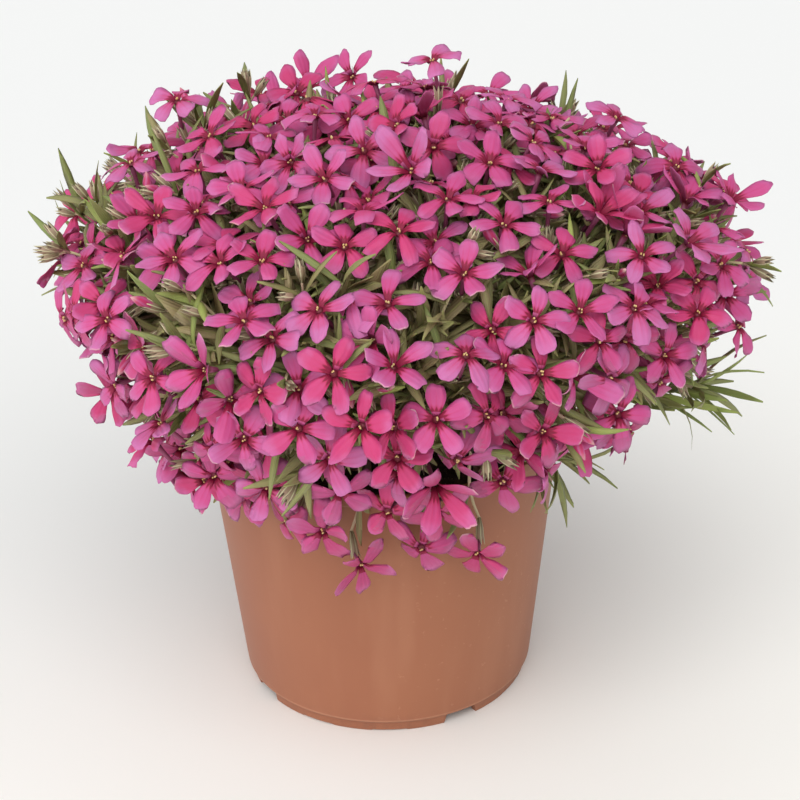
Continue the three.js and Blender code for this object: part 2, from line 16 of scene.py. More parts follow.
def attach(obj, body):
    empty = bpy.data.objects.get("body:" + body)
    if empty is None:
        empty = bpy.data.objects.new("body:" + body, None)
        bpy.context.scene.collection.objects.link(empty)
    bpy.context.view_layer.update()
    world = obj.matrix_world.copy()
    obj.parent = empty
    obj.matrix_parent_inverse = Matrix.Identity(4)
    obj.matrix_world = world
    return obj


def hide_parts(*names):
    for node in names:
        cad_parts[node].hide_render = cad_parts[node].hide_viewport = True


bl_info = {
    "name": "Potted Creeping Phlox",
    "version": (1, 0, 0),
    "blender": (4, 5, 0),
    "location": "View3D > Sidebar > Phlox",
    "description": "Dresses a potted creeping phlox with petals, leaves, calyces, buds and potting mix",
    "category": "Add Mesh",
}

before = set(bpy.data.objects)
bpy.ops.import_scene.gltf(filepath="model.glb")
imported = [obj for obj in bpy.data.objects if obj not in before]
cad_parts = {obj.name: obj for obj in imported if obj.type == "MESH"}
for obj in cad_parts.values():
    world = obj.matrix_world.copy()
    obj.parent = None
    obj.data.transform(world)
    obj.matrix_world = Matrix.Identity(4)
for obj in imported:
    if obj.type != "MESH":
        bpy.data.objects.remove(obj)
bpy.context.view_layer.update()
MM = 0.001  # shapes are worked out in millimetres and stored in metres
DEGREE = math.pi / 180
UP = Vector((0, 0, 1))

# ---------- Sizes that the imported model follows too, in millimetres and degrees ----------

POT = {
    "height": 102.6,
    "rim": 65.0,
    "lip_height": 4.0,
    "lip_step": 1.1,
    "lip_width": 2.5,
    "foot": 52.2,
    "foot_width": 2.4,
    "foot_height": 4.4,
    "corner_height": 5.2,
    "corner": 54.0,
    "wall": 1.4,
    "pad": 8.0,
}
NOTCHES = {"count": 12, "first": -60, "width": 14, "deep": 3.8, "shallow": 0.5, "deep_every": 3}
DRAINS = {"count": 4, "first": -60, "radius": 4.5, "from": 37}
CENTRE = Vector((3, 0, 166))  # of the cushion: bearings and elevations are seen from here
DOME = {"left": 113, "right": 121, "depth": 113, "top": 52.5, "under": 112, "power": 1.65}
LOBES = [  # bearing, elevation, growth, spread
    (140, 40, 4, 30),
    (5, 6, 7, 24),
    (-8, -36, -3, 28),
    (-140, -38, -1, 28),
    (60, 38, 2, 28),
    (-90, -30, 4, 30),
    (-40, -20, -3, 26),
]
SKIRT = {"level": -33, "right_lift": 12, "front": -92, "front_lift": 9, "spread": 30}
POLE = 0.002  # keeps the slope finite at the very top and bottom of the cushion
POT_CLEARANCE = 7  # blooms lower than this above the rim stay as far outside it
LEAD_BLOOMS = [  # bearing, elevation, and how far it stands out
    (6, 74, 14), (169, 30, 14), (178, 19, 4), (10, 25, 4), (16, 35, 0), (131, 30, 2), (148, 58, 0),
    (-135, 31), (-151, 19), (-134, 14), (-125, 16), (-115, 17), (-123, 28), (-111, 39), (-159, 30),
    (-99, 22), (-87, 24), (-72, 32), (-48, 41), (-61, 24), (-45, 26), (-36, 20), (-26, 17),
    (-39, 11), (-47, 5), (-57, 7), (-66, 7), (-75, 16), (-90, 12), (-102, 11), (-114, 8),
    (-119, 0), (-98, 2), (-89, 3), (-78, 4), (-66, -1), (-52, -6), (-104, -8), (-114, -12),
    (-122, -17), (-127, -27), (-83, -6), (-89, -14), (-100, -15), (-64, -13), (-42, -21), (-70, -23),
    (-81, -30), (-91, -29), (-106, -39), (-117, -42), (-98, -48, 5), (-83, -46, 2), (-68, -48, 5),
    (-114, -25), (-135, -33), (-143, 2), (-151, -15),
    (-7, 1), (-13, -9, 6), (-27, -30), (26, 20), (3, 8), (52, 34), (-165, 65),
]
PETALS = 5  # and as many ribs and teeth on a calyx
BLOOM = {
    "radius": 11.4,
    "vary": 0.7,
    "tube": 11.5,
    "hanging_tube": 6,
    "light": (-0.03, -0.18, 0.36),
    "outwards": 0.62,
    "lean": 1.1,
    "lead_lean": 0.5,
    "cup": 3,
    "cup_vary": 22,
}
LAYERS = [  # depth, its spread, least distance, tries
    (0.5, 6, 15.4, 900),
    (8, 1.2, 33, 1500),
]
LEAD_APART = 12.5
LEAD_VARY = 3.2
LAYER_SHIFT = 13.2  # least sideways distance between blooms of two layers
GAPS = [  # leafy gaps: bearing, elevation, radius
    (-168, 18, 9), (-128, 7, 7), (-104, 14, 5), (-103, 3, 6), (-79, 10, 6), (-74, 22, 4),
    (-46, 13, 6), (-20, -20, 10), (-56, -11, 6), (-72, -17, 5), (-106, -17, 5), (-102, 37, 5),
    (3, 36, 5), (12, 63, 6), (171, 38, 6), (95, 5, 9), (60, -12, 8), (130, -15, 8), (110, 35, 6),
    (70, 40, 6), (150, 8, 7), (40, 15, 6),
]
SHOOTS = 40
SHOOT = {"depth": 27, "depth_vary": 4, "above_skirt": 6, "spread": 0.74, "turn": 137.508, "turn_vary": 22}
SPRIGS = [  # bearing, elevation, depth, and how much more upright than the surface they grow
    (-5, -24, -10, 0.7),
    (-44, -38, 10, 0.5),
    (171, -2, 6, 0.5),
]
STEM = {"radius": 1.6, "root": 80, "collar": 97, "spread": 35, "sprig_spread": 45, "leafy": 17}
FOOT = {"first": 0.4, "step": 2.6, "above_shoulder": 2}  # where stalks leave the stem, down from its top
RIM_CLEARANCE = 6  # stem tops stay this far above the rim
HANG = {"below": 10, "within": 96, "beyond": 5, "over": 4}  # blooms that hang on a knee over the rim

# ---------- Sizes of the finer pieces, in millimetres and degrees ----------

TALL = 11  # blooms that stand out further than this are orchid
FILLER_LAYERS = [  # layer it counts with, depth, its spread, tries, least sideways distance to others
    (2, 4.5, 3, 2600, 9.0),
    (1, 8.5, 2.5, 2200, 9.5),
]
FILLER_FOOT = 4  # how far below the stem's top a deeper bloom's stalk starts
EDGE_TIPS = [  # leafy tips that stand out between the blooms of the upper edge: bearing, elevation
    (181, 9), (-170, 5), (-174, 12), (178, 26), (171, 22), (166, 33), (157, 28), (146, 38), (12, 33),
    (-4, 13), (-12, 1),
]
EDGE_RISE = 3  # how far they stand out of the cushion
TIPS = {"tries": 5200, "above_skirt": 2, "gap_depth": 9, "depth": 6, "depth_vary": 10}
THROAT_RADIUS = 0.95
TUBE = {"foot": 0.62, "widens": 0.2, "mouth": 0.38, "below": 2, "sunk": 1.0}
ANTHERS = 3
ANTHER = {"off_axis": 0.45, "radius": 0.26, "sunk": 0.1, "stretch": 0.6}
CALYX_BELOW = 7.5  # how far a flower's calyx reaches below the foot of its tube
CALYXES = {
    "flower": {"length": 9.5, "mouth": 1.35, "flare": 1.25, "hollow": False},
    "bud": {"length": 8.5, "mouth": 1.25, "flare": 1.25, "hollow": False},
    "empty": {"length": 9.5, "mouth": 1.5, "flare": 0.75, "hollow": True},
}
CALYX_FOOT = 0.5  # radius at its base
BUD = {"radius": 1.6, "from": 3, "middle": 8, "to": 13.5, "swirl": 1.5}
CLUSTER_REACH = 12  # free room that a calyx of full size needs
THICKNESS = {  # radius at the foot, and how much thinner the other end is
    "stem": (STEM["radius"], 0.56),
    "stalk": (0.62, 0.1),
    "tip": (0.8, 0.35),
    "calyx": (0.4, 0),
}
LEAF_PAIR = {"turn": 1.35, "turn_vary": 0.7, "slant": 20, "slant_step": 13, "slant_vary": 18}
FLATTEST = 1.5  # radians between a leaf and its stem
LEAVES = {  # count, size, tint from brown to green, droop, width, and cells across and along
    "sprig": {"count": 6, "size": 1.2, "tint": 0.7, "droop": -1.8},
    "stem top": {"count": 12, "size": 1.0, "tint": 0.4},
    "old wood": {"count": 10, "size": 1.1, "tint": 0.1, "wide": 1.8, "cells": (1, 3)},
    "below tip": {"count": 5, "size": 1.05, "tint": 0.1, "wide": 1.7, "cells": (1, 3)},
    "stalk": {"count": 2, "size": 0.7, "tint": 0.3},
}
TIP_LEAVES = 6
TIP_LEAF_SIZE = {"gap": 0.95, "crowd": 0.75}
SPRIG_WHORLS = 5
SHORTEST_LEAF = 0.4  # a leaf that has less room than this share of its length doesn't grow
PETAL_ROOM = 3  # leaves look for petals this far beyond a bloom's radius
POT_STEPS = 288
CREASE = 38  # edges of the pot that turn by more than this stay sharp
WALL_RINGS = (8, 14, 24, 40, 56, 72, 86)
INSIDE_RINGS = (70, 40)
FLOOR_BELOW = 8  # all of the pot's floor lies below this height
DRAIN_HALF_ANGLE = 7  # half the bearing that a drain hole takes up
ROUNDS = {  # radii of the pot's rounded edges
    "pad": 0.3,
    "foot_inside": 0.4,
    "foot": 0.5,
    "corner": 1.3,
    "lip_foot": 0.5,
    "lip": 0.9,
    "mouth": 0.6,
    "floor": 2.4,
}
SOIL = {"edge": 92.6, "gap": 0.3, "corner": 3, "mound": 1.6, "rings": 26, "steps": 110}
SOIL_SIDE_RINGS = (30, 60, 80)
SOIL_RELIEF = [(0.16, 0.9), (0.5, 0.6)]  # how fine and how high
CRUMB = {"least": 0.5, "more": 1.3, "edge": 2, "above": 1.4, "lift": 0.3}
SEEDS = {
    "blooms": 4107,
    "bloom": 9000,
    "shoot": 500,
    "tips": 5200,
    "fillers": 31000,
    "crumbs": 31007,
    "flowers": 32000,
    "foliage": 33000,
}


# ---------- Where everything grows ----------


def draws(seed):
    """A repeatable stream of numbers from 0 to 1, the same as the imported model's."""
    mask = 0xFFFFFFFF
    state = seed & mask

    def draw():
        nonlocal state
        state = (state + 0x6D2B79F5) & mask
        t = ((state ^ (state >> 15)) * (1 | state)) & mask
        t = ((t + (((t ^ (t >> 7)) * (61 | t)) & mask)) & mask) ^ t
        return (t ^ (t >> 14)) / (mask + 1)

    return draw


def jitter(draw):
    return Vector((draw() - 0.5, draw() - 0.5, draw() - 0.5))


def bearing(azimuth, elevation):
    """The direction with this bearing from +X round to +Y, and this elevation."""
    a, e = azimuth * DEGREE, elevation * DEGREE
    return Vector((math.cos(e) * math.cos(a), math.cos(e) * math.sin(a), math.sin(e)))


def angle_between(a, b):
    return math.acos(min(1, max(-1, a.dot(b)))) / DEGREE


def reach(u):
    """Distance from the cushion's centre to its surface along a direction."""
    across = math.hypot(u.x / DOME["right" if u.x > 0 else "left"], u.y / DOME["depth"])
    upright = abs(u.z) / DOME["top" if u.z > 0 else "under"]
    power = DOME["power"]
    total = (across**power + upright**power) ** (-1 / power)
    for azimuth, elevation, grows, spread in LOBES:
        away = angle_between(u, bearing(azimuth, elevation)) / spread
        total += grows * math.exp(-away * away)
    return total


def outward(u):
    """Outward direction of the cushion's surface."""
    side = DOME["right" if u.x > 0 else "left"]
    tall = DOME["top" if u.z > 0 else "under"]
    across = max(math.hypot(u.x / side, u.y / DOME["depth"]), POLE)
    slope = across ** (DOME["power"] - 2)
    lift = (abs(u.z) / tall) ** (DOME["power"] - 1) / tall
    sign = (u.z > 0) - (u.z < 0)
    return Vector((slope * u.x / side**2, slope * u.y / DOME["depth"] ** 2, sign * lift)).normalized()


def skirt_at(azimuth):
    """How low the blooms hang at a bearing, in degrees of elevation."""
    away = angle_between(bearing(azimuth, 0), bearing(SKIRT["front"], 0)) / SKIRT["spread"]
    lift = SKIRT["front_lift"] * math.exp(-away * away)
    return SKIRT["level"] + SKIRT["right_lift"] * math.cos(azimuth * DEGREE) + lift


def bloom_at(azimuth, elevation, depth, layer, lead=False):
    """A place below the cushion's surface by the depth, with its outward direction."""
    u = bearing(azimuth, elevation)
    out = outward(u)
    place = CENTRE + u * reach(u) - out * depth
    return SimpleNamespace(place=place, out=out, layer=layer, lead=lead, tall=depth < -TALL)


def is_clear(bloom, others, apart, shift=LAYER_SHIFT):
    """Whether a place is clear of the pot, of its own layer's places and of those that it would cover."""
    out = math.hypot(bloom.place.x, bloom.place.y) - POT["rim"]
    if max(bloom.place.z - POT["height"], out) < POT_CLEARANCE:
        return False
    for other in others:
        gap = other.place - bloom.place
        if other.layer == bloom.layer:
            if gap.length < apart:
                return False
        elif gap.length <= 2 * LAYER_SHIFT:
            if (gap - bloom.out * gap.dot(bloom.out)).length < shift:
                return False
    return True


@cache
def gaps():
    return [(bearing(azimuth, elevation), radius) for azimuth, elevation, radius in GAPS]


def in_gap(azimuth, elevation):
    """Whether a direction looks into one of the leafy gaps."""
    u = bearing(azimuth, elevation)
    return any(angle_between(u, gap) < radius for gap, radius in gaps())


def random_direction(draw, above_skirt=0):
    """A bearing and an elevation above the skirt, spread evenly over the cushion."""
    azimuth = 360 * draw()
    low = math.sin((skirt_at(azimuth) + above_skirt) * DEGREE)
    return azimuth, math.asin(low + (1 - low) * draw()) / DEGREE


def scatter(blooms, draw, layer, settings, shift=LAYER_SHIFT):
    """Adds as many places of one layer as fit, by tries in random directions."""
    depth, spread, apart, tries = settings
    for _ in range(tries):
        azimuth, elevation = random_direction(draw)
        deep = depth + spread * (draw() - 0.5)
        if in_gap(azimuth, elevation):
            continue
        bloom = bloom_at(azimuth, elevation, deep, layer)
        if is_clear(bloom, blooms, apart, shift):
            blooms.append(bloom)


def grow_blooms():
    """The leading blooms, and then those of the outer and the inner layer."""
    blooms = []
    for i, (azimuth, elevation, *rise) in enumerate(LEAD_BLOOMS):
        draw = draws(SEEDS["bloom"] - 1 - i)
        bloom = bloom_at(azimuth, elevation, LEAD_VARY * (draw() - 0.3) - sum(rise), 0, True)
        if is_clear(bloom, blooms, LEAD_APART):
            blooms.append(bloom)
    draw = draws(SEEDS["blooms"])
    for layer, settings in enumerate(LAYERS):
        scatter(blooms, draw, layer, settings)
    return blooms


def pose_bloom(bloom, index):
    """Which way a bloom faces, its turn about its own axis, its size and the cup of its petals."""
    draw = draws(SEEDS["bloom"] + index)
    lean = jitter(draw) * (BLOOM["lead_lean"] if bloom.lead else BLOOM["lean"])
    bloom.axis = (bloom.out * BLOOM["outwards"] + Vector(BLOOM["light"]) + lean).normalized()
    bloom.turn = 360 / PETALS * draw()
    bloom.radius = BLOOM["radius"] + BLOOM["vary"] * (2 * draw() - 1)
    bloom.cup = BLOOM["cup"] + BLOOM["cup_vary"] * (draw() - 0.5)
    level = Vector((bloom.place.x, bloom.place.y, 0))
    bloom.hangs = bloom.place.z < POT["height"] + HANG["below"] and level.length < HANG["within"]
    bloom.knee = None
    if bloom.hangs:
        bloom.knee = level.normalized() * (POT["rim"] + HANG["beyond"])
        bloom.knee.z = POT["height"] + HANG["over"]
    bloom.neck = bloom.place - bloom.axis * BLOOM["hanging_tube" if bloom.hangs else "tube"]


def shoot_at(azimuth, elevation, depth, spread, lift=0):
    """A stem: its top, the shoulder where its leafy part starts, and its root in the soil."""
    top = bloom_at(azimuth, elevation, depth, 0)
    top.out = (top.out + UP * lift).normalized()
    top.place.z = max(top.place.z, POT["height"] + RIM_CLEARANCE)
    share = (90 - elevation) / (90 - SKIRT["level"])
    root = bearing(azimuth, 0) * (spread * math.sqrt(share))
    shoulder = top.place - top.out * STEM["leafy"]
    return SimpleNamespace(top=top.place, out=top.out, root=root, shoulder=shoulder, blooms=[], tips=[])


def nearest(shoots, point):
    return min(shoots, key=lambda shoot: (shoot.top - point).length)


def set_feet(shoot):
    """Where each stalk leaves the stem: the most upright at the tip, the others in steps below it."""
    shoot.blooms.sort(key=lambda b: -((b.knee or b.neck) - shoot.top).normalized().dot(shoot.out))
    step = min(FOOT["step"], (STEM["leafy"] - FOOT["above_shoulder"]) / max(len(shoot.blooms), 1))
    for i, bloom in enumerate(shoot.blooms):
        bloom.foot = shoot.top - shoot.out * (FOOT["first"] + step * i)


@cache
def grow():
    """All the shoots, each with its blooms and with the leafy tips that stand between the blooms."""
    blooms = grow_blooms()
    fillers = scatter_fillers(blooms)
    for index, bloom in enumerate(blooms + fillers):
        pose_bloom(bloom, index)
    shoots = []
    for k in range(SHOOTS):
        draw = draws(SEEDS["shoot"] + k)
        azimuth = SHOOT["turn"] * k + SHOOT["turn_vary"] * (draw() - 0.5)
        low = math.sin((skirt_at(azimuth) + SHOOT["above_skirt"]) * DEGREE)
        elevation = math.asin(1 - ((k + 0.5) / SHOOTS) ** SHOOT["spread"] * (1 - low)) / DEGREE
        depth = SHOOT["depth"] + SHOOT["depth_vary"] * (draw() - 0.5)
        shoots.append(shoot_at(azimuth, elevation, depth, STEM["spread"]))
    for bloom in blooms:
        nearest(shoots, bloom.knee or bloom.neck).blooms.append(bloom)
    for shoot in shoots:
        set_feet(shoot)
    for bloom in fillers:
        shoot = nearest(shoots, bloom.knee or bloom.neck)
        bloom.foot = shoot.top - shoot.out * FILLER_FOOT
        shoot.blooms.append(bloom)
    for tip in scatter_tips():
        nearest(shoots, tip.place).tips.append(tip)
    for azimuth, elevation, depth, lift in SPRIGS:
        shoots.append(shoot_at(azimuth, elevation, depth, STEM["sprig_spread"], lift))
    for number, shoot in enumerate(shoots):
        shoot.number = number
        shoot.node = "shoot_%02d" % (number + 1)
        shoot.sprig = number >= SHOOTS
    return shoots


def scatter_fillers(blooms):
    """More blooms, deeper in the cushion, seen between those of the outer layer."""
    settings = bpy.context.scene.phlox_blooms
    both = list(blooms)
    spacings = (settings.filler_apart / MM, settings.inner_apart / MM)
    for k, (layer, depth, spread, tries, shift) in enumerate(FILLER_LAYERS):
        scatter(both, draws(SEEDS["fillers"] + k), layer, (depth, spread, spacings[k], tries), shift)
    return both[len(blooms):]


def scatter_tips():
    """Leafy tips all over the cushion, nearer its surface in the gaps that have no bloom."""
    apart = bpy.context.scene.phlox_foliage.tips_apart / MM
    draw = draws(SEEDS["tips"])
    tips = [bloom_at(azimuth, elevation, -EDGE_RISE, 0) for azimuth, elevation in EDGE_TIPS]
    for tip in tips:
        tip.open_gap = True
    for _ in range(TIPS["tries"]):
        azimuth, elevation = random_direction(draw, TIPS["above_skirt"])
        share = draw()
        open_gap = in_gap(azimuth, elevation)
        depth = TIPS["gap_depth"] * share if open_gap else TIPS["depth"] + TIPS["depth_vary"] * share
        tip = bloom_at(azimuth, elevation, depth, 0)
        tip.open_gap = open_gap
        if is_clear(tip, tips, apart):
            tips.append(tip)
    return tips


# ---------- Mesh helpers ----------


def colour(code):
    """Linear colour of an sRGB code such as "#d0508c"."""
    parts = [int(code[i : i + 2], 16) / 255 for i in (1, 3, 5)]
    return tuple(c / 12.92 if c <= 0.04045 else ((c + 0.055) / 1.055) ** 2.4 for c in parts)


def smooth(low, high, x):
    """0 at low, 1 at high, smooth between them. Low may be above high."""
    t = min(1, max(0, (x - low) / (high - low)))
    return t * t * (3 - 2 * t)


def blend(a, b, share):
    return a + (b - a) * share


class Path:
    """A smooth line through points, with a place and a direction at each share of its length."""

    def __init__(self, *points):
        self.points = [Vector(p) for p in points]
        ends = [self.points[0] * 2 - self.points[1], self.points[-1] * 2 - self.points[-2]]
        self.all = [ends[0], *self.points, ends[1]]

    def at(self, share):
        spans = len(self.points) - 1
        i = min(int(share * spans), spans - 1)
        t = share * spans - i
        a, b, c, d = self.all[i : i + 4]
        square, cube = 2 * a - 5 * b + 4 * c - d, 3 * b - a - 3 * c + d
        return 0.5 * (2 * b + (c - a) * t + square * t * t + cube * t**3)

    def along(self, share, step=0.02):
        return (self.at(min(share + step, 1)) - self.at(max(share - step, 0))).normalized()


def basis(direction):
    """Two directions across a direction."""
    reference = UP if abs(direction.z) < 0.9 else Vector((1, 0, 0))
    across = reference.cross(direction).normalized()
    return across, direction.cross(across)


def spoke(sides, angle):
    """The direction at an angle between the two directions of a basis."""
    return sides[0] * math.cos(angle) + sides[1] * math.sin(angle)


class Piece:
    """A mesh in the making: templates are stamped into it and led into place point by point."""

    marks = ("along", "across", "tint")

    def __init__(self, name, materials):
        self.name = name
        self.materials = materials
        self.bm = bmesh.new()
        self.layers = [self.bm.verts.layers.float.new(mark) for mark in self.marks]

    def stamp(self, template):
        start = len(self.bm.verts)
        self.bm.from_mesh(template)
        self.bm.verts.ensure_lookup_table()
        return self.bm.verts[start:]

    def mark(self, vertex, along, across, tint):
        for layer, value in zip(self.layers, (along, across, tint)):
            vertex[layer] = value

    def sheet(self, template, shape, tint):
        """Leads a flat template, -1 to 1 across and 0 to 1 along, into the given shape."""
        for vertex in self.stamp(template):
            u, s = vertex.co.x, vertex.co.y
            self.mark(vertex, s, u, tint)
            vertex.co = shape(u, s)

    def reed(self, template, path, radius, tint, swirl=0):
        """Leads an upright template of radius 1 and height 1 along a path.

        The radius is worked out from the share of the path and the angle, with a lift along the path.
        """
        rings = {}
        for vertex in self.stamp(template):
            s = vertex.co.z
            angle = math.atan2(vertex.co.y, vertex.co.x)
            key = round(s, 3)
            if key not in rings:
                rings[key] = (path.at(s), basis(path.along(s)))
            centre, sides = rings[key]
            size, lift = radius(s, angle)
            self.mark(vertex, s, math.cos(PETALS * angle), tint)
            size *= math.hypot(*vertex.co.xy)
            vertex.co = centre + spoke(sides, angle + swirl * s) * size + path.along(s) * lift

    def thicken(self, thickness, back_material):
        """Gives every sheet made so far its thickness, with its own material on the far side."""
        made = bmesh.ops.solidify(self.bm, geom=list(self.bm.faces), thickness=thickness)
        for part in made["geom"]:
            if isinstance(part, bmesh.types.BMFace):
                part.material_index = back_material

    def finish(self, slot, node, crease=None):
        """Turns the mesh into a piece of the object, in metres, in the place of a node."""
        bm = self.bm
        bmesh.ops.recalc_face_normals(bm, faces=bm.faces)
        bmesh.ops.scale(bm, vec=(MM, MM, MM), verts=bm.verts)
        for face in bm.faces:
            face.smooth = True
        if crease:
            for edge in bm.edges:
                edge.smooth = len(edge.link_faces) == 2 and edge.calc_face_angle() < crease * DEGREE
        mesh = bpy.data.meshes.new(self.name)
        bm.to_mesh(mesh)
        bm.free()
        for material in self.materials:
            mesh.materials.append(material)
        piece = bpy.data.objects.new(self.name, mesh)
        bpy.context.scene.collection.objects.link(piece)
        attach(piece, "root")
        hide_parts(node)


def template(name, bm, material_index):
    for face in bm.faces:
        face.material_index = material_index
    mesh = bpy.data.meshes.new(name)
    bm.to_mesh(mesh)
    bm.free()
    return mesh


@cache
def sheet_template(cells_across, cells_along, material_index):
    bm = bmesh.new()
    bmesh.ops.create_grid(bm, x_segments=cells_across, y_segments=cells_along, size=1)
    bmesh.ops.translate(bm, vec=(0, 1, 0), verts=bm.verts)
    bmesh.ops.scale(bm, vec=(1, 0.5, 1), verts=bm.verts)
    return template("sheet", bm, material_index)


@cache
def reed_template(sides, cells_along, material_index, hollow=False):
    """An upright reed of radius 1 and height 1. A hollow one has its top end sunk into it."""
    bm = bmesh.new()
    turn = Matrix.Rotation(math.pi / 2, 4, "Z")
    bmesh.ops.create_cone(bm, cap_ends=True, segments=sides, radius1=1, radius2=1, depth=1, matrix=turn)
    upright = [e for e in bm.edges if abs(e.verts[0].co.z - e.verts[1].co.z) > 0.5]
    bmesh.ops.subdivide_edges(bm, edges=upright, cuts=cells_along - 1)
    if hollow:
        top = max(bm.faces, key=lambda face: face.calc_center_median().z)
        bmesh.ops.inset_individual(bm, faces=[top], thickness=0.25, depth=-0.35)
    bmesh.ops.translate(bm, vec=(0, 0, 0.5), verts=bm.verts)
    return template("reed", bm, material_index)


@cache
def bead_template(level, material_index):
    bm = bmesh.new()
    bmesh.ops.create_icosphere(bm, subdivisions=level, radius=1)
    return template("bead", bm, material_index)


# ---------- Materials ----------


class Number:
    """A number inside a material, so that sums with it are written as expressions."""

    def __init__(self, finish, socket):
        self.finish = finish
        self.socket = socket

    def _sum(self, operation, *terms):
        return self.finish.node("ShaderNodeMath", {"operation": operation}, dict(enumerate(terms)))

    def __add__(self, other):
        return self._sum("ADD", self, other)

    def __sub__(self, other):
        return self._sum("SUBTRACT", self, other)

    def __rsub__(self, other):
        return self._sum("SUBTRACT", other, self)

    def __mul__(self, other):
        return self._sum("MULTIPLY", self, other)

    def __pow__(self, other):
        return self._sum("POWER", self, other)

    __radd__ = __add__
    __rmul__ = __mul__

    def size(self):
        return self._sum("ABSOLUTE", self)

    def wave(self):
        return self._sum("SINE", self)

    def between(self, low, high):
        """0 below low, 1 above high, smooth between them. Low may be above high."""
        settings = {"interpolation_type": "SMOOTHSTEP"}
        if low > high:
            return 1 - self.between(high, low)
        return self.finish.node("ShaderNodeMapRange", settings, {0: self, 1: low, 2: high, 3: 0.0, 4: 1.0})


class Finish:
    """A material whose nodes are made from Python expressions."""

    def __init__(self, name):
        self.material = bpy.data.materials.new(name)
        self.material.use_nodes = True
        self.nodes = self.material.node_tree.nodes
        self.links = self.material.node_tree.links
        self.shader = self.nodes["Principled BSDF"]

    def put(self, socket, value):
        if isinstance(value, Number):
            self.links.new(value.socket, socket)
        elif isinstance(value, bpy.types.NodeSocket):
            self.links.new(value, socket)
        elif socket.type == "RGBA":
            socket.default_value = (*value, 1)
        else:
            socket.default_value = value

    def node(self, kind, settings=None, values=None, output=0):
        """A node's output. Settings are set first, and then the values or links of its sockets."""
        made = self.nodes.new(kind)
        for key, value in (settings or {}).items():
            setattr(made, key, value)
        for key, value in (values or {}).items():
            self.put(made.inputs[key], value)
        return Number(self, made.outputs[output])

    def set(self, **values):
        """Sets the shader's own sockets, named with _ for a space."""
        for key, value in values.items():
            self.put(self.shader.inputs[key.replace("_", " ")], value)

    def mark(self, name):
        return self.node("ShaderNodeAttribute", {"attribute_name": name}, output=2)

    def mix(self, share, a, b):
        made = self.nodes.new("ShaderNodeMix")
        made.data_type = "RGBA"
        for index, value in zip((0, 6, 7), (share, a, b)):
            self.put(made.inputs[index], value)
        return made.outputs[2]

    def coordinates(self, scale=(1, 1, 1)):
        place = self.node("ShaderNodeTexCoord", output=3).socket
        return self.node("ShaderNodeMapping", {}, {0: place, 3: scale}).socket

    def noise(self, scale, detail=3.0, stretch=(1, 1, 1), roughness=0.5):
        values = {"Scale": scale, "Detail": detail, "Roughness": roughness}
        values["Vector"] = self.coordinates(stretch)
        return self.node("ShaderNodeTexNoise", {"noise_dimensions": "3D"}, values)

    def bump(self, height, strength, distance):
        values = {"Strength": strength, "Distance": distance, "Height": height}
        return self.node("ShaderNodeBump", {}, values).socket


# The order of the materials on a shoot's flowers and on its foliage.
PETAL, PETAL_BACK, TUBE_SKIN, POLLEN = range(4)
STEM_SKIN, LEAF_SKIN, CALYX_SKIN, BUD_SKIN = range(4)


def petal_finish(name, settings, back):
    """Pink petal: orchid towards its edges, with fan veins, and a crimson eye with dark rays at its foot.

    The back has no eye. It is duskier at its foot and paler towards its tip.
    """
    finish = Finish(name)
    along, across, tint = finish.mark("along"), finish.mark("across"), finish.mark("tint")
    cloud = finish.noise(150.0, 2.0)
    edge = across.size() ** 2
    to_tip = (along * 0.85 + edge * 0.12 + (cloud - 0.5) * 0.8).between(0.3, 1.0)
    warm = (tint * 7.31).wave().between(-0.4, 1.0)
    body = finish.mix(warm * 0.75, settings.rose, settings.cherry)
    orchid = (to_tip * 0.75 + tint.between(0.45, 1.0) * 0.6 - 0.15).between(0.0, 1.0)
    body = finish.mix(orchid, body, settings.orchid)
    fan = (across * (8.0 + 4.0 * along) + cloud * 1.5).wave()
    veins = fan.between(0.5, 1.0) * along.between(1.0, 0.4) * 0.26
    midrib = across.size().between(0.12, 0.02) * along.between(1.0, 0.3) * 0.15
    body = finish.mix(veins + midrib, body, settings.cherry)
    if back:
        body = finish.mix(0.45 - 0.25 * along, body, settings.dusk)
        body = finish.mix(along.between(0.3, 1.0) * 0.3, body, settings.pale)
    else:
        rays = (across * 8.5 + cloud * 2.0).wave()
        glow = (along - rays * 0.03 + (cloud - 0.5) * 0.1).between(0.38, 0.16)
        body = finish.mix(glow * 0.75, body, settings.flame)
        eye = (along - rays * 0.06 + (cloud - 0.5) * 0.06).between(0.26, 0.17)
        body = finish.mix(eye * 0.9, body, settings.eye)
    rim = along.between(0.955, 1.0) * (tint * 11.7).wave().between(0.7, 0.9)
    body = finish.mix(rim * 0.35, body, settings.cream)
    height = fan * 0.5 + finish.noise(900.0, 2.0) * 0.5
    finish.set(Base_Color=body, Roughness=0.55, Normal=finish.bump(height, 0.25, 0.0003))
    finish.set(Subsurface_Weight=settings.glow, Subsurface_Radius=(1.0, 0.4, 0.6), Subsurface_Scale=0.0006)
    finish.set(Specular_IOR_Level=0.3)
    return finish.material


def tube_finish(settings):
    """Slender tube of a flower: dusky pink, darker below, with a crimson mouth."""
    finish = Finish("flower_tube")
    along, tint = finish.mark("along"), finish.mark("tint")
    body = finish.mix(along.between(0.0, 0.9) * 0.8 + tint * 0.2, settings.tube_foot, settings.tube)
    body = finish.mix(along.between(0.93, 0.99), body, settings.throat)
    finish.set(Base_Color=body, Roughness=0.5)
    return finish.material


def anther_finish(settings):
    """Pollen-yellow anthers with pale grains."""
    finish = Finish("anther")
    grain = finish.noise(2500.0)
    body = finish.mix(grain * 0.4 + finish.mark("tint") * 0.5, settings.pollen, settings.pale_pollen)
    finish.set(Base_Color=body, Roughness=0.8)
    return finish.material


